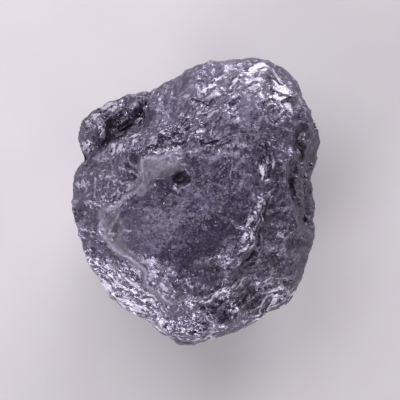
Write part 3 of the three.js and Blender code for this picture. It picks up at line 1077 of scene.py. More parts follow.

# The pale streaks are painted white: frosted cleavage flats in part, and painted glints where flats catch
# the lights.
STREAKS = (
    Streaks(LOWER_LEFT_SLOPE, azimuth=-38, size=0.11, longer=4.0, slope=0.35, pale=0.72, share=0.5),
    Streaks(TIP, azimuth=12, size=0.18, longer=2.5, slope=0.4, pale=0.6, share=0.35),
    Streaks(LOWER_RIDGE, azimuth=22, size=0.08, longer=3.0, slope=0.4, pale=0.9, share=0.45),
    Streaks(LOWER_RIGHT_FLAKES, azimuth=36, size=0.09, longer=12.0, slope=0.6, pale=1.0, share=0.35),
    Streaks(LOWER_RIGHT_SLOPE, azimuth=58, size=0.11, longer=2.5, slope=0.5, pale=0.45, share=0.22),
    Streaks(BOTTOM_SLOPE, azimuth=25, size=0.12, longer=2.5, slope=0.6, pale=0.5, share=0.25),
    Streaks(RIGHT_RIDGE, azimuth=52, size=0.11, longer=2.5, slope=0.4, pale=0.8, share=0.33),
    Streaks(RIGHT_STREAKS, azimuth=100, size=0.15, longer=3.0, slope=0.3, pale=0.6, share=0.2),
    Streaks(UPPER_BAND, azimuth=38, size=0.18, longer=2.5, slope=0.4, pale=0.45, share=0.25),
    Streaks(LEFT_BAND, azimuth=24, size=0.12, longer=2.5, slope=0.4, pale=0.6, share=0.35),
    Streaks(BRIGHT_BAND, azimuth=-27, size=0.21, longer=1.8, slope=0.3, pale=1.0, share=0.45),
    Streaks(BRIGHT_FLECKS, azimuth=-8, size=0.1, longer=2.5, slope=0.35, pale=0.9, share=0.3),
    Streaks(LEFT_SHELF, azimuth=60, size=0.12, longer=1.5, slope=0.5, pale=0.4, share=0.3),
    Streaks(BRIGHT_CORNER, azimuth=-50, size=0.22, longer=2.0, slope=0.3, pale=1.0, share=0.4),
    Streaks(LEFT_GLINT, azimuth=25, size=0.16, longer=2.0, slope=0.3, pale=1.0, share=0.75),
    Streaks(LEAF, azimuth=102, size=0.14, longer=3.0, slope=0.3, pale=1.0, share=0.8),
    Streaks(RIDGE_GLINT, azimuth=20, size=0.07, longer=2.0, slope=0.3, pale=1.0, share=0.6),
    Streaks(KNOB_GLINT, azimuth=86, size=0.1, longer=4.0, slope=0.3, pale=1.0, share=0.9),
    Streaks(KNOB_CROWN, azimuth=20, size=0.1, longer=2.0, slope=0.5, pale=0.5, share=0.4),
    Streaks(LOBE_STREAK, azimuth=28, size=0.08, longer=4.0, slope=0.5, pale=0.8, share=0.5),
    Streaks(LOBE_TOP, azimuth=30, size=0.09, longer=2.5, slope=0.5, pale=0.45, share=0.25),
    Streaks(SEAM_STREAK, azimuth=95, size=0.1, longer=3.0, slope=0.4, pale=0.7, share=0.5),
    Streaks(UPRIGHT_FACETS, azimuth=88, size=0.11, longer=5.0, slope=0.45, pale=0.35, share=0.35),
    Streaks(UPPER_RIGHT_SLOPE, azimuth=96, size=0.15, longer=3.0, slope=0.2, pale=0.25, share=0.15),
    Streaks(UPPER_LEFT_LOBE, azimuth=32, size=0.2, longer=3.0, slope=0.8, pale=0.5, share=0.18),
    Streaks(RIGHT_LOBES, azimuth=75, size=0.25, longer=2.0, slope=0.5, pale=0.15, share=0.2),
    Streaks(FRONT_FACE, azimuth=352, size=0.16, longer=4.0, slope=0.55, pale=0.5, share=0.2, climb=8),
    Streaks(RIGHT_FACE, azimuth=72, size=0.2, longer=3.0, slope=0.55, pale=0.4, share=0.16, climb=-10),
    Streaks(BACK_FACE, azimuth=160, size=0.22, longer=2.5, slope=0.55, pale=0.6, share=0.2, climb=12),
    Streaks(LEFT_FACE, azimuth=255, size=0.18, longer=3.5, slope=0.55, pale=0.5, share=0.2, climb=-14),
    Streaks(LOW_FACE, azimuth=300, size=0.14, longer=4.0, slope=0.55, pale=0.5, share=0.25, climb=10),
    Streaks(LOW_RIGHT_FACE, azimuth=35, size=0.16, longer=3.0, slope=0.55, pale=0.4, share=0.2, climb=-8),
)

# Where the cleavage flats shine, where the ground is calm, where the crystal is deepest in colour (the lobes
# also with painted shade) or half as deep, and where it is frosted (the bright band also with painted
# sheen).
GLOSSY = (
    BRIGHT_BAND, BRIGHT_CORNER, LOWER_LEFT_SLOPE, TIP, LOWER_RIDGE, LOWER_RIGHT_FLAKES, RIGHT_RIDGE,
    RIGHT_STREAKS, UPPER_BAND, LEFT_BAND, LEFT_GLINT, LEAF, RIDGE_GLINT, KNOB, KNOB_GLINT, FRONT_FACE,
    RIGHT_FACE, BACK_FACE, LEFT_FACE, LOW_FACE, LOW_RIGHT_FACE, UPPER_LEFT_LOBE, BOTTOM_SLOPE,
)
CALM = (PLATEAU, LEFT_SHELF, UPPER_RIGHT_SLOPE)
DEEP = (UPPER_LEFT_LOBE, RIGHT_LOBES)
HALF_DEEP = (BRIGHT_BAND, LOWER_RIGHT_FLAKES)
# Frosted white here is partly painted sheen, where the bright band and the glint catch the lights.
FROSTED_AND_SHEEN = (BRIGHT_BAND, LEFT_GLINT)


# ---- The stone ------------------------------------------------------------------------------------------


class Mask(Enum):
    """The stretches of surface that the stone's finish tells apart, by the name of their attribute."""

    RIM = "rim"  # thin ridges, painted pale as a highlight
    EDGE = "edge"  # the plateau's edge, painted pale as a highlight
    HOLLOW = "hollow"  # painted shade in pits, crevices, broad hollows and at the foot of the plateau's step
    STREAK = "streak"  # pale cleavage flats, partly frosted and partly painted glints
    GLOSS = "gloss"  # shining crystal
    SKIN = "skin"  # dull skin
    WARM = "warm"  # faint brown stain
    DEEP = "deep"  # the darkest crystal, and painted shade on the low lobes
    FROST = "frost"  # frosted crystal, with painted sheen on the bright band and the left glint


@dataclass
class SurfaceNet:
    """A closed net of four-sided faces round a sphere, close enough for the finest relief.

    Attributes:
        side: faces along each side of the six squares that make up the sphere.
        pull: how much the net is drawn together towards the top.
    """

    side: int = 128
    pull: float = 0.38

    def __post_init__(self) -> None:
        """Lays out the six squares and joins them where they meet."""
        n = self.side
        line = np.tan(np.linspace(-np.pi / 4, np.pi / 4, n + 1))
        u, v = (x.ravel() for x in np.meshgrid(line, line))
        one = np.ones_like(u)
        squares = [(one, u, v), (-u, one, v), (-one, -u, v), (u, -one, v), (-v, u, one), (v, u, -one)]
        places = unit(np.concatenate([np.stack(s, 1) for s in squares]))
        keys = np.round(places * 1e6).astype(np.int64)
        _, first, merged = np.unique(keys, axis=0, return_index=True, return_inverse=True)
        self.directions = unit(places[first] + np.array([0.0, 0.0, self.pull]))
        row, column = (x.ravel() for x in np.meshgrid(np.arange(n), np.arange(n), indexing="ij"))
        corner = row * (n + 1) + column
        quad = np.stack([corner, corner + 1, corner + n + 2, corner + n + 1], 1)
        everywhere = np.concatenate([quad + k * (n + 1) ** 2 for k in range(6)])
        self.faces = merged.ravel()[everywhere]
        self.edges = np.unique(
            np.sort(np.concatenate([self.faces[:, [i, (i + 1) % 4]] for i in range(4)]), axis=1), axis=0
        )

    def unfolded(self, margin: float = 0.01) -> Array:
        """Lays the six squares side by side in a flat map.

        Args:
            margin: bare edge round each square, as a share of it.

        Returns:
            A place in the map for each corner of each face.
        """
        n = self.side
        row, column = (x.ravel() for x in np.meshgrid(np.arange(n), np.arange(n), indexing="ij"))
        turns = ((0, 0), (0, 1), (1, 1), (1, 0))
        quad = np.stack([np.stack([column + across, row + up], 1) for up, across in turns], 1) / n
        quad = margin + (1.0 - 2.0 * margin) * quad
        return np.concatenate([(quad + np.array([k % 3, k // 3])) / np.array([3, 2]) for k in range(6)])

    def smoothed(self, values: Array, rounds: int) -> Array:
        """Averages values over their neighbours.

        Args:
            values: one row for each point of the net.
            rounds: how many times.

        Returns:
            The averaged values.
        """
        a, b = self.edges.T
        count = np.bincount(np.concatenate([a, b]), minlength=len(values))
        flat = values.reshape(len(values), -1)
        for _ in range(rounds):
            columns = []
            for column in flat.T:
                around = np.bincount(a, column[b], len(column)) + np.bincount(b, column[a], len(column))
                columns.append(0.5 * column + 0.5 * around / count)
            flat = np.stack(columns, 1)
        return flat.reshape(values.shape)

    def normals(self, points: Array) -> Array:
        """Works out the outward normals.

        Args:
            points: the surface, one row for each point of the net.

        Returns:
            One unit vector for each point.
        """
        corners = points[self.faces]
        across = np.cross(corners[:, 2] - corners[:, 0], corners[:, 3] - corners[:, 1])
        total = np.zeros_like(points)
        for i in range(4):
            for axis in range(3):
                total[:, axis] += np.bincount(self.faces[:, i], across[:, axis], len(points))
        return unit(total)


@dataclass
class RoughDiamond:
    """The stone: builds its surface, marks its stretches and wears its finish.

    Attributes:
        body: the block under the relief.
        net: the net that carries the surface.
        girdle_calm: how much flatter the facets are along the girdle.
        plateau_calm: how much flatter the broad facets are on the plateau.
        chip_guard: how much of the plateau's ground the chips leave as it was.
        wear: how far the sides and the underside are worn smooth.
        warp: how far the patterns of the fine relief are bent out of line.
        grain: height of the finest grain in the net.
    """

    body: StoneBody = field(default_factory=StoneBody)
    net: SurfaceNet = field(default_factory=SurfaceNet)
    girdle_calm: float = 0.5
    plateau_calm: float = 0.85
    chip_guard: float = 0.9
    wear: float = 0.5
    warp: float = 0.08
    grain: float = 0.006

    def broad_relief(self, points: Array) -> Array:
        """Adds up the swells, the large facets and the hollows of the sides.

        Args:
            points: places on the body.

        Returns:
            How far outwards each point moves.
        """
        calm = 1.0 - self.girdle_calm * np.exp(-(((points[:, 2] - 0.5) / 1.2) ** 2))
        calm = calm * (1.0 - self.plateau_calm * CALM_GROUND.weight(points))
        height = sum(swell.height(points) for swell in SWELLS)
        for azimuth, elevation, radius, depth in SIDE_HOLLOWS:
            centre = self.body.points(direction_of(azimuth, elevation)[None])[0]
            distance = np.linalg.norm(points - centre, axis=1)
            height = height - depth * np.exp(-((distance / radius) ** 2))
        for facets, share in BROAD_FACETS:
            height = height + share * calm * facets.height(points)
        return height

    def open_sky(self, points: Array) -> Array:
        """Returns 1 on the upper side, 0 on steep walls and below, and a smooth fade between."""
        facing = self.net.normals(self.net.smoothed(points, 12))[:, 2]
        return smoothstep(-0.5, 0.4, points[:, 2]) * smoothstep(-0.05, 0.25, facing)

    def marks(self, points: Array) -> Array:
        """Adds up the crevices, ledges and pits of the upper side.

        Args:
            points: places on the stone.

        Returns:
            How far upwards each point moves.
        """
        return sum(feature.height(points) for feature in (PLATEAU_STEP, *CREVICES, *LEDGES, *HOLLOWS))

    def fine_relief(self, points: Array, sky: Array) -> tuple[Array, Array]:
        """Small facets, streaks, growth steps and grain.

        Args:
            points: places on the stone.
            sky: how far each lies on the open upper side.

        Returns:
            How far outwards each point moves, and how pale it is, from 0 to 1.
        """
        bend = np.stack([fractal_noise(points, 0.5, s) for s in (101, 102, 103)], 1)
        warped = points + self.warp * bend
        plain = any_of(CALM, points)
        calm = 1.0 - self.girdle_calm * np.exp(-((points[:, 2] - 0.3) ** 2))
        height, pale = np.zeros(len(points)), np.zeros(len(points))
        for facets, flatter in FINE_FACETS:
            height += (1.0 - flatter * plain) * facets.height(warped)
        for streaks in STREAKS:
            rise, paleness = streaks.relief(warped)
            shown = sky if isinstance(streaks.zone, Zone) else 1.0
            height += rise * shown
            pale = np.maximum(pale, paleness * shown)
        height += BRIGHT_BAND.weight(points) * BAND_STEPS.height(warped)
        grain = self.grain * (1.0 - plain) * fractal_noise(warped, 0.1, 71, octaves=1)
        return calm * height + grain, pale

    def fitted(self, points: Array) -> Array:
        """Draws the surface in or out so that its widest line lies on the girdle's plan.

        Args:
            points: the surface, about the heart.

        Returns:
            The fitted surface.
        """
        azimuth = np.arctan2(points[:, 1], points[:, 0])
        out = np.hypot(points[:, 0], points[:, 1])
        bins = 180
        index = np.floor((azimuth / (2 * np.pi) % 1.0) * bins).astype(int) % bins
        widest = np.zeros(bins)
        np.maximum.at(widest, index, out / self.body.girdle.radius(azimuth))
        softening = np.array([1, 2, 3, 2, 1]) / 9
        widest = np.convolve(np.concatenate([widest[-2:], widest, widest[:2]]), softening, "valid")
        centres = (np.arange(bins) + 0.5) / bins * 2 * np.pi
        ratio = np.interp(azimuth, centres, widest, period=2 * np.pi)
        return points / np.stack([ratio, ratio, np.ones_like(ratio)], 1)

    def surface(self) -> tuple[Array, Array, Array]:
        """Works out the stone's surface on the net.

        Returns:
            The net's points, in millimetres, with the resting face at height 0, how pale each is, and how
            far each lies on the open upper side.
        """
        directions = self.net.directions
        body = self.body.points(directions)
        points = body + directions * self.broad_relief(body)[:, None]
        whole = points
        for chips in CHIPS:
            points = chips.cut(self.net, points)
        points = points + self.chip_guard * CALM_GROUND.weight(points)[:, None] * (whole - points)
        sky = self.open_sky(points)
        points[:, 2] += sky * self.marks(points)
        height, pale = self.fine_relief(points, sky)
        points = points + unit(points) * height[:, None]
        worn = self.wear * (1.0 - sky)[:, None]
        points = self.fitted(points + worn * (self.net.smoothed(points, 1) - points))
        low = points[:, 2] < -self.body.heart_height
        points[low] *= (self.body.heart_height / -points[low, 2])[:, None]
        points[:, 2] += self.body.heart_height
        return points, pale, sky

    def about_heart(self, points: Array) -> Array:
        """Returns the net's points with the heart, not the resting face, at height 0."""
        return points - np.array([0.0, 0.0, self.body.heart_height])

    def plateau_rim(self, points: Array) -> tuple[Array, Array, Array]:
        """Finds the plateau's left edge, where a pale line is painted as a highlight, and the foot of its
        step, where dark is painted as shade.

        Args:
            points: the net's points.

        Returns:
            How far inside the rim each point lies, and how much it belongs to the edge and to the foot.
        """
        distance, side, past = PLATEAU_RIM.nearest(self.about_heart(points), RIM_REACH)
        inside = side * distance
        broken = smoothstep(-0.8, -0.1, fractal_noise(points, 0.6, 13))
        broken = broken * np.exp(-((past / END_FADE) ** 2)) * smoothstep(0.2, -1.4, points[:, 0])
        broken = broken * (1.0 - 0.55 * smoothstep(-1.0, -2.0, points[:, 1]))
        # Painted highlight along the plateau's left edge.
        edge = broken * np.exp(-(((inside - 0.02) / 0.1) ** 2))
        # Painted shade at the foot of the plateau's step.
        foot = broken * np.exp(-(((inside + 0.19) / 0.07) ** 2))
        return inside, edge, foot

    def masks(self, points: Array, pale: Array, sky: Array) -> dict[Mask, Array]:
        """Marks the stretches of the surface that the finish tells apart.

        Args:
            points: the net's points.
            pale: how pale each is.
            sky: how far each lies on the open upper side.

        Returns:
            A number from 0 to 1 at each point, for each mask.
        """
        net = self.net
        normals = net.normals(points)
        near = np.sum((points - net.smoothed(points, 8)) * normals, axis=1)
        far = np.sum((points - net.smoothed(points, 90)) * normals, axis=1)
        local = self.about_heart(points)
        inside, edge, foot = self.plateau_rim(points)
        edge, foot = sky * edge, sky * foot
        outside = smoothstep(0.02, -0.06, inside)
        left = smoothstep(0.2, -0.8, local[:, 0])
        kept = 1.0 - 0.85 * smoothstep(0.0, 0.08, inside) * left
        pits = sum(mark.height(local) for mark in (*CREVICES, *HOLLOWS) if mark.depth > 0)
        # Painted shade in pits and crevices.
        sunk = 0.6 * sky * smoothstep(0.05, 0.35, -pits)
        # Painted shade: the lobes that lie low and face away from the lights are darkened, along with darker
        # crystal.
        dim = any_of(DEEP, local)
        shine = any_of(GLOSSY, local) * np.maximum(outside, 1.4 * kept - 0.4)
        shine_below = smoothstep(0.0, 0.5, fractal_noise(points, 2.4, 23)) * (1.0 - sky)
        frost_below = smoothstep(0.1, 0.5, fractal_noise(points, 1.8, 37)) * (1.0 - sky) * (1.0 - dim)
        skin = any_of(SKIN_PATCHES, local) * smoothstep(-0.02, 0.06, inside)
        return {
            # Painted highlight: convex ridges are marked to be made paler.
            Mask.RIM: smoothstep(0.005, 0.025, near),
            Mask.EDGE: edge,
            # Painted shade: broad hollows, pits, crevices and the step's foot are darkened.
            Mask.HOLLOW: np.clip(smoothstep(0.02, 0.16, -far) + sunk + 0.9 * foot, 0.0, 1.0),
            Mask.STREAK: pale * kept,
            Mask.GLOSS: np.clip(shine + shine_below, 0.0, 1.0),
            Mask.SKIN: skin * (1.0 - sunk),
            Mask.WARM: smoothstep(0.2, 0.7, fractal_noise(points, 1.3, 29)),
            Mask.DEEP: np.maximum(dim, 0.75 * any_of(HALF_DEEP, local)),
            # Frost, and painted sheen on the bright band and the left glint.
            Mask.FROST: np.maximum(any_of(FROSTED_AND_SHEEN, local) * outside, frost_below),
        }

    def build(self) -> bpy.types.Object:
        """Makes the stone's mesh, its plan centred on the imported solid's, with its masks and its map.

        Returns:
            The stone's object.
        """
        points, pale, sky = self.surface()
        masks = self.masks(points, pale, sky)
        middle = (points.min(0) + points.max(0)) / 2
        place = np.array([(cad_low.x + cad_high.x) / 2, (cad_low.y + cad_high.y) / 2, cad_low.z])
        placed = (points - np.array([middle[0], middle[1], 0.0])) * MM + place
        mesh = bpy.data.meshes.new("natural_stone")
        mesh.from_pydata(placed.tolist(), [], self.net.faces.tolist())
        mesh.shade_flat()
        for mask, values in masks.items():
            made = mesh.attributes.new(mask.value, "FLOAT", "POINT")
            made.data.foreach_set("value", values.astype(np.float32))
        flat = mesh.uv_layers.new(name="OFBake")
        flat.data.foreach_set("uv", self.net.unfolded().ravel().astype(np.float32))
        mesh.update()
        stone = bpy.data.objects.new("natural_stone", mesh)
        bpy.context.scene.collection.objects.link(stone)
        return stone

    def dress(self, stone: bpy.types.Object, material: bpy.types.Material) -> None:
        """Gives the stone its finish."""
        stone.data.materials.append(material)


# ---- Finishes -------------------------------------------------------------------------------------------


@dataclass(frozen=True)
class NodeBoard:
    """A node tree with short ways to place and join nodes."""

    tree: bpy.types.NodeTree

    def add(self, kind: str, links: dict | None = None, **settings: object) -> bpy.types.Node:
        """Places a node.

        Args:
            kind: the node's type.
            links: input name or number to a socket to link, or to a value to set.
            settings: attributes of the node itself.

        Returns:
            The node.
        """
        node = self.tree.nodes.new(kind)
        for name, value in settings.items():
            setattr(node, name, value)
        for name, value in (links or {}).items():
            if isinstance(value, bpy.types.NodeSocket):
                self.tree.links.new(value, node.inputs[name])
            else:
                node.inputs[name].default_value = value
        return node

    def math(self, operation: str, *values: object, clamp: bool = False) -> bpy.types.NodeSocket:
        """Returns the result of a sum on numbers or sockets."""
        links = dict(enumerate(values))
        return self.add("ShaderNodeMath", links, operation=operation, use_clamp=clamp).outputs[0]

    def vector(self, operation: str, *values: object) -> bpy.types.NodeSocket:
        """Returns the result of a sum on vectors."""
        return self.add("ShaderNodeVectorMath", dict(enumerate(values)), operation=operation).outputs[0]

    def ramp(self, value: bpy.types.NodeSocket, low: float, high: float) -> bpy.types.NodeSocket:
        """Returns 0 where the value is under low, 1 over high and a smooth rise between."""
        links = {"Value": value, "From Min": low, "From Max": high}
        return self.add("ShaderNodeMapRange", links, interpolation_type="SMOOTHSTEP").outputs[0]

    def mix(self, share: object, first: object, second: object) -> bpy.types.NodeSocket:
        """Mixes two colours.

        Args:
            share: how much of the second colour there is, from 0 to 1.
            first: a colour or a socket.
            second: a colour or a socket.

        Returns:
            The mixed colour.
        """
        node = self.tree.nodes.new("ShaderNodeMix")
        node.data_type = "RGBA"
        for index, value in ((0, share), (6, first), (7, second)):
            if isinstance(value, bpy.types.NodeSocket):
                self.tree.links.new(value, node.inputs[index])
            else:
                node.inputs[index].default_value = value
        return node.outputs[2]

    def attribute(self, mask: Mask) -> bpy.types.NodeSocket:
        """Returns the mesh's own mask."""
        return self.add("ShaderNodeAttribute", attribute_name=mask.value).outputs["Fac"]


def new_group(name: str, inputs: dict[str, tuple[str, object]], outputs: dict[str, str]) -> tuple:
    """Starts a shader node group.

    Args:
        name: the group's name.
        inputs: socket name to its type and its usual value.
        outputs: socket name to its type.

    Returns:
        The group's board, its input node and its output node.
    """
    group = bpy.data.node_groups.new(name, "ShaderNodeTree")
    for socket, (kind, value) in inputs.items():
        made = group.interface.new_socket(name=socket, in_out="INPUT", socket_type=kind)
        if value is not None:
            made.default_value = value
    for socket, kind in outputs.items():
        group.interface.new_socket(name=socket, in_out="OUTPUT", socket_type=kind)
    board = NodeBoard(group)
    return board, board.add("NodeGroupInput"), board.add("NodeGroupOutput")


def flakes_group() -> bpy.types.NodeTree:
    """Builds the group that breaks a surface into tiny flat flakes, each turned its own way.

    Returns:
        A group that takes Vector, Scale, Tilt, Share and Base, and gives Normal and Random.
    """
    inputs = {
        "Vector": ("NodeSocketVector", None),
        "Scale": ("NodeSocketFloat", 6000.0),
        "Tilt": ("NodeSocketFloat", 0.5),
        "Share": ("NodeSocketFloat", 1.0),
        "Base": ("NodeSocketVector", None),
    }
    outputs = {"Normal": "NodeSocketVector", "Random": "NodeSocketFloat"}
    board, given, put = new_group("flakes", inputs, outputs)
    links = {"Vector": given.outputs["Vector"], "Scale": given.outputs["Scale"]}
    cells = board.add("ShaderNodeTexVoronoi", links, feature="F1")
    centred = board.vector("SUBTRACT", cells.outputs["Color"], (0.5, 0.5, 0.5))
    parts = board.add("ShaderNodeSeparateColor", {0: cells.outputs["Color"]})
    chosen = board.math("LESS_THAN", parts.outputs[0], given.outputs["Share"])
    amount = board.math("MULTIPLY", given.outputs["Tilt"], chosen)
    tilt = board.add("ShaderNodeVectorMath", {0: centred, "Scale": amount}, operation="SCALE")
    turned = board.vector("NORMALIZE", board.vector("ADD", given.outputs["Base"], tilt.outputs[0]))
    board.tree.links.new(turned, put.inputs["Normal"])
    board.tree.links.new(parts.outputs[0], put.inputs["Random"])
    return board.tree


def mottle_group() -> bpy.types.NodeTree:
    """Builds the group of cloudy variation that both the stone and the table have.

    Returns:
        A group that takes Vector, Scale and Detail, and gives a Value about 0.5.
    """
    inputs = {
        "Vector": ("NodeSocketVector", None),
        "Scale": ("NodeSocketFloat", 500.0),
        "Detail": ("NodeSocketFloat", 4.0),
    }
    board, given, put = new_group("mottle", inputs, {"Value": "NodeSocketFloat"})
    links = {name: given.outputs[name] for name in inputs}
    noise = board.add("ShaderNodeTexNoise", links)
    board.tree.links.new(noise.outputs[0], put.inputs["Value"])
    return board.tree


@dataclass(frozen=True)
class GreyDiamondFinish:
    """Dark, bluish grey diamond: frosted and sugary on the plateau, glinting on its cleavage steps.

    Attributes:
        dark: colour of the deep, clean crystal.
        mid: colour of the cloudy crystal.
        pale: colour of thin, frosted edges, and of the painted highlights on thin ridges and on the
            plateau's edge.
        warm: colour of the faint brown stain and of the skin.
        white: colour of the frosted cleavage flats and of frost, also of the painted glints and painted
            sheen.
        deep: colour of the darkest crystal, and of the painted shade in hollows and on the low lobes.
        grain_height: how far the sugary grain stands out, in metres.
        cloud_scale: cells in a metre of the slow clouds in the crystal.
        blotch_scale: the same for the blotches.
        grain_scale: the same for the sugary grain.
        ragged_scale: the same for the torn edges of frost and flats.
        flake_scale: the same for the flakes.
        glint_scale: the same for the glints.
        refraction: diamond's index of refraction.
    """

    dark: tuple[float, float, float, float] = (0.01, 0.0085, 0.02, 1.0)
    mid: tuple[float, float, float, float] = (0.054, 0.047, 0.085, 1.0)
    pale: tuple[float, float, float, float] = (0.28, 0.26, 0.32, 1.0)
    warm: tuple[float, float, float, float] = (0.125, 0.118, 0.118, 1.0)
    white: tuple[float, float, float, float] = (0.75, 0.74, 0.8, 1.0)
    deep: tuple[float, float, float, float] = (0.01, 0.009, 0.017, 1.0)
    grain_height: float = 0.000018
    cloud_scale: float = 1100.0
    blotch_scale: float = 5000.0
    grain_scale: float = 11000.0
    ragged_scale: float = 1600.0
    flake_scale: float = 8500.0
    glint_scale: float = 24000.0
    refraction: float = 2.42

    def material(self, flakes: bpy.types.NodeTree, mottle: bpy.types.NodeTree) -> bpy.types.Material:
        """Builds the material.

        Args:
            flakes: the flakes group.
            mottle: the mottle group.

        Returns:
            The material.
        """
        material = bpy.data.materials.new("grey_diamond")
        material.use_nodes = True
        board = NodeBoard(material.node_tree)
        shader = material.node_tree.nodes["Principled BSDF"]
        place = board.add("ShaderNodeTexCoord").outputs["Object"]
        masks = {mask: board.attribute(mask) for mask in Mask}
        clouds = self.clouds(board, place, mottle)
        normal, turn = self.glints(board, place, flakes, clouds["grain"], masks[Mask.GLOSS])
        join = board.tree.links.new
        join(self.colour(board, clouds, masks), shader.inputs["Base Color"])
        join(self.roughness(board, turn, masks), shader.inputs["Roughness"])
        join(normal, shader.inputs["Normal"])
        shader.inputs["IOR"].default_value = self.refraction
        shader.inputs["Specular IOR Level"].default_value = 0.3
        shader.inputs["Specular Tint"].default_value = (0.88, 0.83, 1.0, 1.0)
        return material

    def clouds(self, board: NodeBoard, place: bpy.types.NodeSocket, mottle: bpy.types.NodeTree) -> dict:
        """Places the cloudy variations of the crystal, from coarse to fine.

        Args:
            board: the material's board.
            place: the stone's own coordinates.
            mottle: the mottle group.

        Returns:
            Name to value socket.
        """
        made = {}
        for name, scale, detail in (
            ("cloud", self.cloud_scale, 4.0),
            ("blotch", self.blotch_scale, 3.0),
            ("grain", self.grain_scale, 4.0),
            ("ragged", self.ragged_scale, 7.0),
        ):
            links = {"Vector": place, "Scale": scale, "Detail": detail}
            made[name] = board.add("ShaderNodeGroup", links, node_tree=mottle).outputs["Value"]
        return made

    def glints(
        self,
        board: NodeBoard,
        place: bpy.types.NodeSocket,
        flakes: bpy.types.NodeTree,
        grain: bpy.types.NodeSocket,
        gloss: bpy.types.NodeSocket,
    ) -> tuple[bpy.types.NodeSocket, bpy.types.NodeSocket]:
        """Turns the surface by its sugary grain, by its flakes and by a few sharp glints.

        Args:
            board: the material's board.
            place: the stone's own coordinates.
            flakes: the flakes group.
            grain: value of the grain.
            gloss: how glossy the surface is.

        Returns:
            The turned normal, and a number from 0 to 1 for each glint's cell.
        """
        height = {"Height": grain, "Strength": 1.0, "Distance": self.grain_height}
        bump = board.add("ShaderNodeBump", height).outputs[0]
        tilt = board.math("MULTIPLY_ADD", gloss, 0.14, 0.26)
        coarse = {"Vector": place, "Scale": self.flake_scale, "Tilt": tilt, "Share": 1.0, "Base": bump}
        turned = board.add("ShaderNodeGroup", coarse, node_tree=flakes).outputs["Normal"]
        share = board.math("MULTIPLY_ADD", gloss, 0.05, 0.045)
        fine = {"Vector": place, "Scale": self.glint_scale, "Tilt": 0.8, "Share": share, "Base": turned}
        glint = board.add("ShaderNodeGroup", fine, node_tree=flakes)
        return glint.outputs["Normal"], glint.outputs["Random"]

    def colour(self, board: NodeBoard, clouds: dict, masks: dict) -> bpy.types.NodeSocket:
        """Lays the colours over one another, painted highlights and shade among them, the frosted white of
        the cleavage flats and painted glints last.

        Args:
            board: the material's board.
            clouds: name to value socket.
            masks: mask to socket.

        Returns:
            The stone's colour.
        """
        grain, ragged = clouds["grain"], clouds["ragged"]
        streak = masks[Mask.STREAK]
        level = grain
        for name, share in (("cloud", 0.5), ("blotch", 0.5)):
            level = board.math("MULTIPLY_ADD", board.math("SUBTRACT", clouds[name], 0.5), share, level)
        torn = board.math("MULTIPLY_ADD", board.math("SUBTRACT", grain, 0.5), 1.5, streak)
        torn = board.math("MULTIPLY_ADD", board.math("SUBTRACT", ragged, 0.5), 1.8, torn)
        # Frost, and painted sheen on the bright band and the left glint.
        frost = board.math("MULTIPLY", masks[Mask.FROST], board.ramp(ragged, 0.5, 0.52))
        # Painted highlight on thin ridges.
        ridges = board.math("MULTIPLY", masks[Mask.RIM], board.ramp(grain, 0.4, 0.56))
        # Painted highlight along the plateau's edge.
        edge = board.math("MULTIPLY", masks[Mask.EDGE], board.ramp(grain, 0.26, 0.46))
        # Painted glints and frosted flats: the pale streaks are made white.
        flats = board.math("MULTIPLY", streak, board.ramp(torn, 0.2, 0.45))
        colour = board.mix(board.ramp(level, 0.4, 0.7), self.dark, self.mid)
        for mask, strength, tone in (
            (masks[Mask.WARM], 0.15, self.warm),
            (masks[Mask.SKIN], 0.4, self.warm),
            # frost, and painted sheen on the bright band
            (frost, 0.24, self.white),
            # painted highlight on thin ridges
            (ridges, 0.6, self.pale),
            # painted highlight along the plateau's edge
            (edge, 0.85, self.pale),
            # darkest crystal, and painted shade on the low lobes
            (masks[Mask.DEEP], 0.7, self.deep),
            # painted shade in hollows, crevices and at the step's foot
            (masks[Mask.HOLLOW], 0.72, self.deep),
            # frosted flats and painted glints
            (flats, 0.85, self.white),
        ):
            colour = board.mix(board.math("MULTIPLY", mask, strength), colour, tone)
        return colour

    def roughness(self, board: NodeBoard, turn: bpy.types.NodeSocket, masks: dict) -> bpy.types.NodeSocket:
        """Makes the glossy stretches smoother and the skin duller.

        Args:
            board: the material's board.
            turn: a number from 0 to 1 for each glint's cell.
            masks: mask to socket.

        Returns:
            The stone's roughness.
        """
        rough = board.math("SUBTRACT", 0.35, board.math("MULTIPLY", masks[Mask.GLOSS], 0.15))
        rough = board.math("ADD", rough, board.math("MULTIPLY", masks[Mask.SKIN], 0.15))
        spread = board.math("MULTIPLY", board.math("SUBTRACT", turn, 0.5), 0.2)
        return board.math("ADD", rough, spread, clamp=True)


@dataclass(frozen=True)
class PaleTableFinish:
    """A matt, very pale table.

    Attributes:
        colour: its usual colour.
        shade: its colour where it is a little darker.
        cloud_scale: cells in a metre of the slow change between the two.
    """

    colour: tuple[float, float, float, float] = (0.665, 0.65, 0.63, 1.0)
    shade: tuple[float, float, float, float] = (0.65, 0.63, 0.613, 1.0)
    cloud_scale: float = 260.0

    def material(self, mottle: bpy.types.NodeTree) -> bpy.types.Material:
        """Builds the material.

        Args:
            mottle: the mottle group.

        Returns:
            The material.
        """
        material = bpy.data.materials.new("pale_table")
        material.use_nodes = True
        board = NodeBoard(material.node_tree)
        shader = material.node_tree.nodes["Principled BSDF"]
        place = board.add("ShaderNodeTexCoord").outputs["Object"]
        links = {"Vector": place, "Scale": self.cloud_scale, "Detail": 3.0}
        cloud = board.add("ShaderNodeGroup", links, node_tree=mottle)
        share = board.ramp(cloud.outputs["Value"], 0.35, 0.65)
        board.tree.links.new(board.mix(share, self.colour, self.shade), shader.inputs["Base Color"])
        shader.inputs["Roughness"].default_value = 0.8
        return material


# ---- Studio ---------------------------------------------------------------------------------------------


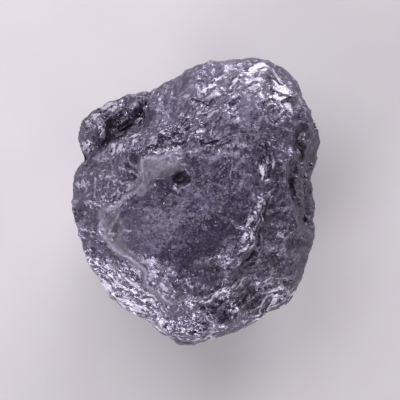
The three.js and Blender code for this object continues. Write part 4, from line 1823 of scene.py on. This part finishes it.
@dataclass(frozen=True)
class SoftLight:
    """A square soft light that looks at the stone.

    Attributes:
        name: the lamp's name.
        azimuth: where it stands, in degrees.
        elevation: how high it stands, in degrees.
        distance: how far from the stone's middle, in metres.
        width: of its square, in metres.
        power: in watts.
        colour: of its light.
    """

    name: str
    azimuth: float
    elevation: float
    distance: float
    width: float
    power: float
    colour: tuple[float, float, float] = (1.0, 1.0, 1.0)


COOL = (0.94, 0.9, 1.0)
LIGHTS = (
    SoftLight("key_light", azimuth=122, elevation=48, distance=0.06, width=0.05, power=0.0215, colour=COOL),
    SoftLight("top_strip", azimuth=72, elevation=14.5, distance=0.14, width=0.06, power=0.18, colour=COOL),
    SoftLight("left_strip", azimuth=228, elevation=13, distance=0.14, width=0.06, power=0.18, colour=COOL),
    SoftLight("front_strip", azimuth=292, elevation=16, distance=0.14, width=0.04, power=0.04, colour=COOL),
)


@dataclass
class Studio:
    """The table, the soft lights and the camera.

    Attributes:
        centre: the stone's middle, in metres.
        view_width: width of the view at the stone's girdle, in metres.
        aim: where the camera looks, from the stone's middle in plan, in metres.
        lens: the camera's focal length, in its own millimetres.
        girdle: height of the girdle above the table, in metres.
        table_radius: of the round table, in metres.
        walls: colour of the room near the horizon.
        ceiling: colour of the room overhead.
        fill: strength of the room's light.
    """

    centre: Vector
    view_width: float = 16.57 * MM
    aim: tuple[float, float] = (0.166 * MM, 0.095 * MM)
    lens: float = 250.0
    girdle: float = 4.2 * MM
    table_radius: float = 0.05
    walls: tuple[float, float, float, float] = (0.95, 0.91, 1.0, 1.0)
    ceiling: tuple[float, float, float, float] = (0.06, 0.055, 0.07, 1.0)
    fill: float = 0.73

    def table(self, material: bpy.types.Material) -> bpy.types.Object:
        """Makes the table.

        Args:
            material: its finish.

        Returns:
            The table's object.
        """
        count = 96
        turns = [2 * math.pi * i / count for i in range(count)]
        rim = [(self.table_radius * math.cos(t), self.table_radius * math.sin(t), 0.0) for t in turns]
        mesh = bpy.data.meshes.new("table")
        mesh.from_pydata(rim, [], [tuple(range(count))])
        mesh.materials.append(material)
        table = bpy.data.objects.new("table", mesh)
        bpy.context.scene.collection.objects.link(table)
        return table

    def light(self, plan: SoftLight) -> bpy.types.Object:
        """Hangs a soft light that looks at the stone.

        Args:
            plan: where it stands and how strong it is.

        Returns:
            The light's object.
        """
        data = bpy.data.lights.new(plan.name, "AREA")
        data.shape = "SQUARE"
        data.size = plan.width
        data.energy = plan.power
        data.color = plan.colour
        lamp = bpy.data.objects.new(plan.name, data)
        out = Vector(direction_of(plan.azimuth, plan.elevation))
        lamp.location = self.centre + out * plan.distance
        lamp.rotation_euler = (-out).to_track_quat("-Z", "Y").to_euler()
        bpy.context.scene.collection.objects.link(lamp)
        return lamp

    def world(self) -> None:
        """Fills the room with dim, even light."""
        world = bpy.data.worlds.new("room")
        world.use_nodes = True
        board = NodeBoard(world.node_tree)
        sky = world.node_tree.nodes["Background"]
        place = board.add("ShaderNodeTexCoord").outputs["Generated"]
        height = board.add("ShaderNodeSeparateXYZ", {0: place}).outputs["Z"]
        dimming = board.ramp(height, 0.35, 0.95)
        board.tree.links.new(board.mix(dimming, self.walls, self.ceiling), sky.inputs["Color"])
        sky.inputs["Strength"].default_value = self.fill
        bpy.context.scene.world = world

    def camera(self) -> bpy.types.Object:
        """Sets the camera straight above the stone.

        Returns:
            The camera's object.
        """
        data = bpy.data.cameras.new("camera")
        data.lens = self.lens
        data.clip_start = 0.001
        data.clip_end = 5.0
        away = self.view_width / 2 / (data.sensor_width / 2 / data.lens)
        camera = bpy.data.objects.new("camera", data)
        camera.location = (self.centre.x + self.aim[0], self.centre.y + self.aim[1], self.girdle + away)
        bpy.context.scene.collection.objects.link(camera)
        bpy.context.scene.camera = camera
        return camera

    def build(self, material: bpy.types.Material) -> None:
        """Sets up the whole studio.

        Args:
            material: the table's finish.
        """
        self.table(material)
        for plan in LIGHTS:
            self.light(plan)
        self.world()
        self.camera()
        bpy.context.scene.view_settings.view_transform = "Standard"


# ---- The scene ------------------------------------------------------------------------------------------


def corners(low: Vector, high: Vector) -> list[list[float]]:
    """Returns a box's lowest and highest corners as plain lists."""
    return [list(low), list(high)]


def main() -> None:
    """Builds the stone and the studio."""
    logging.basicConfig(level=logging.INFO, format="%(name)s: %(message)s")
    flakes, mottle = flakes_group(), mottle_group()
    diamond = RoughDiamond()
    stone = diamond.build()
    diamond.dress(stone, GreyDiamondFinish().material(flakes, mottle))
    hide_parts(NODE)
    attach(stone, "root")
    LOG.info("%s: %d points, %d faces", stone.name, len(stone.data.vertices), len(stone.data.polygons))
    Studio(centre=(cad_low + cad_high) / 2).build(PaleTableFinish().material(mottle))


if __name__ == "__main__":
    main()
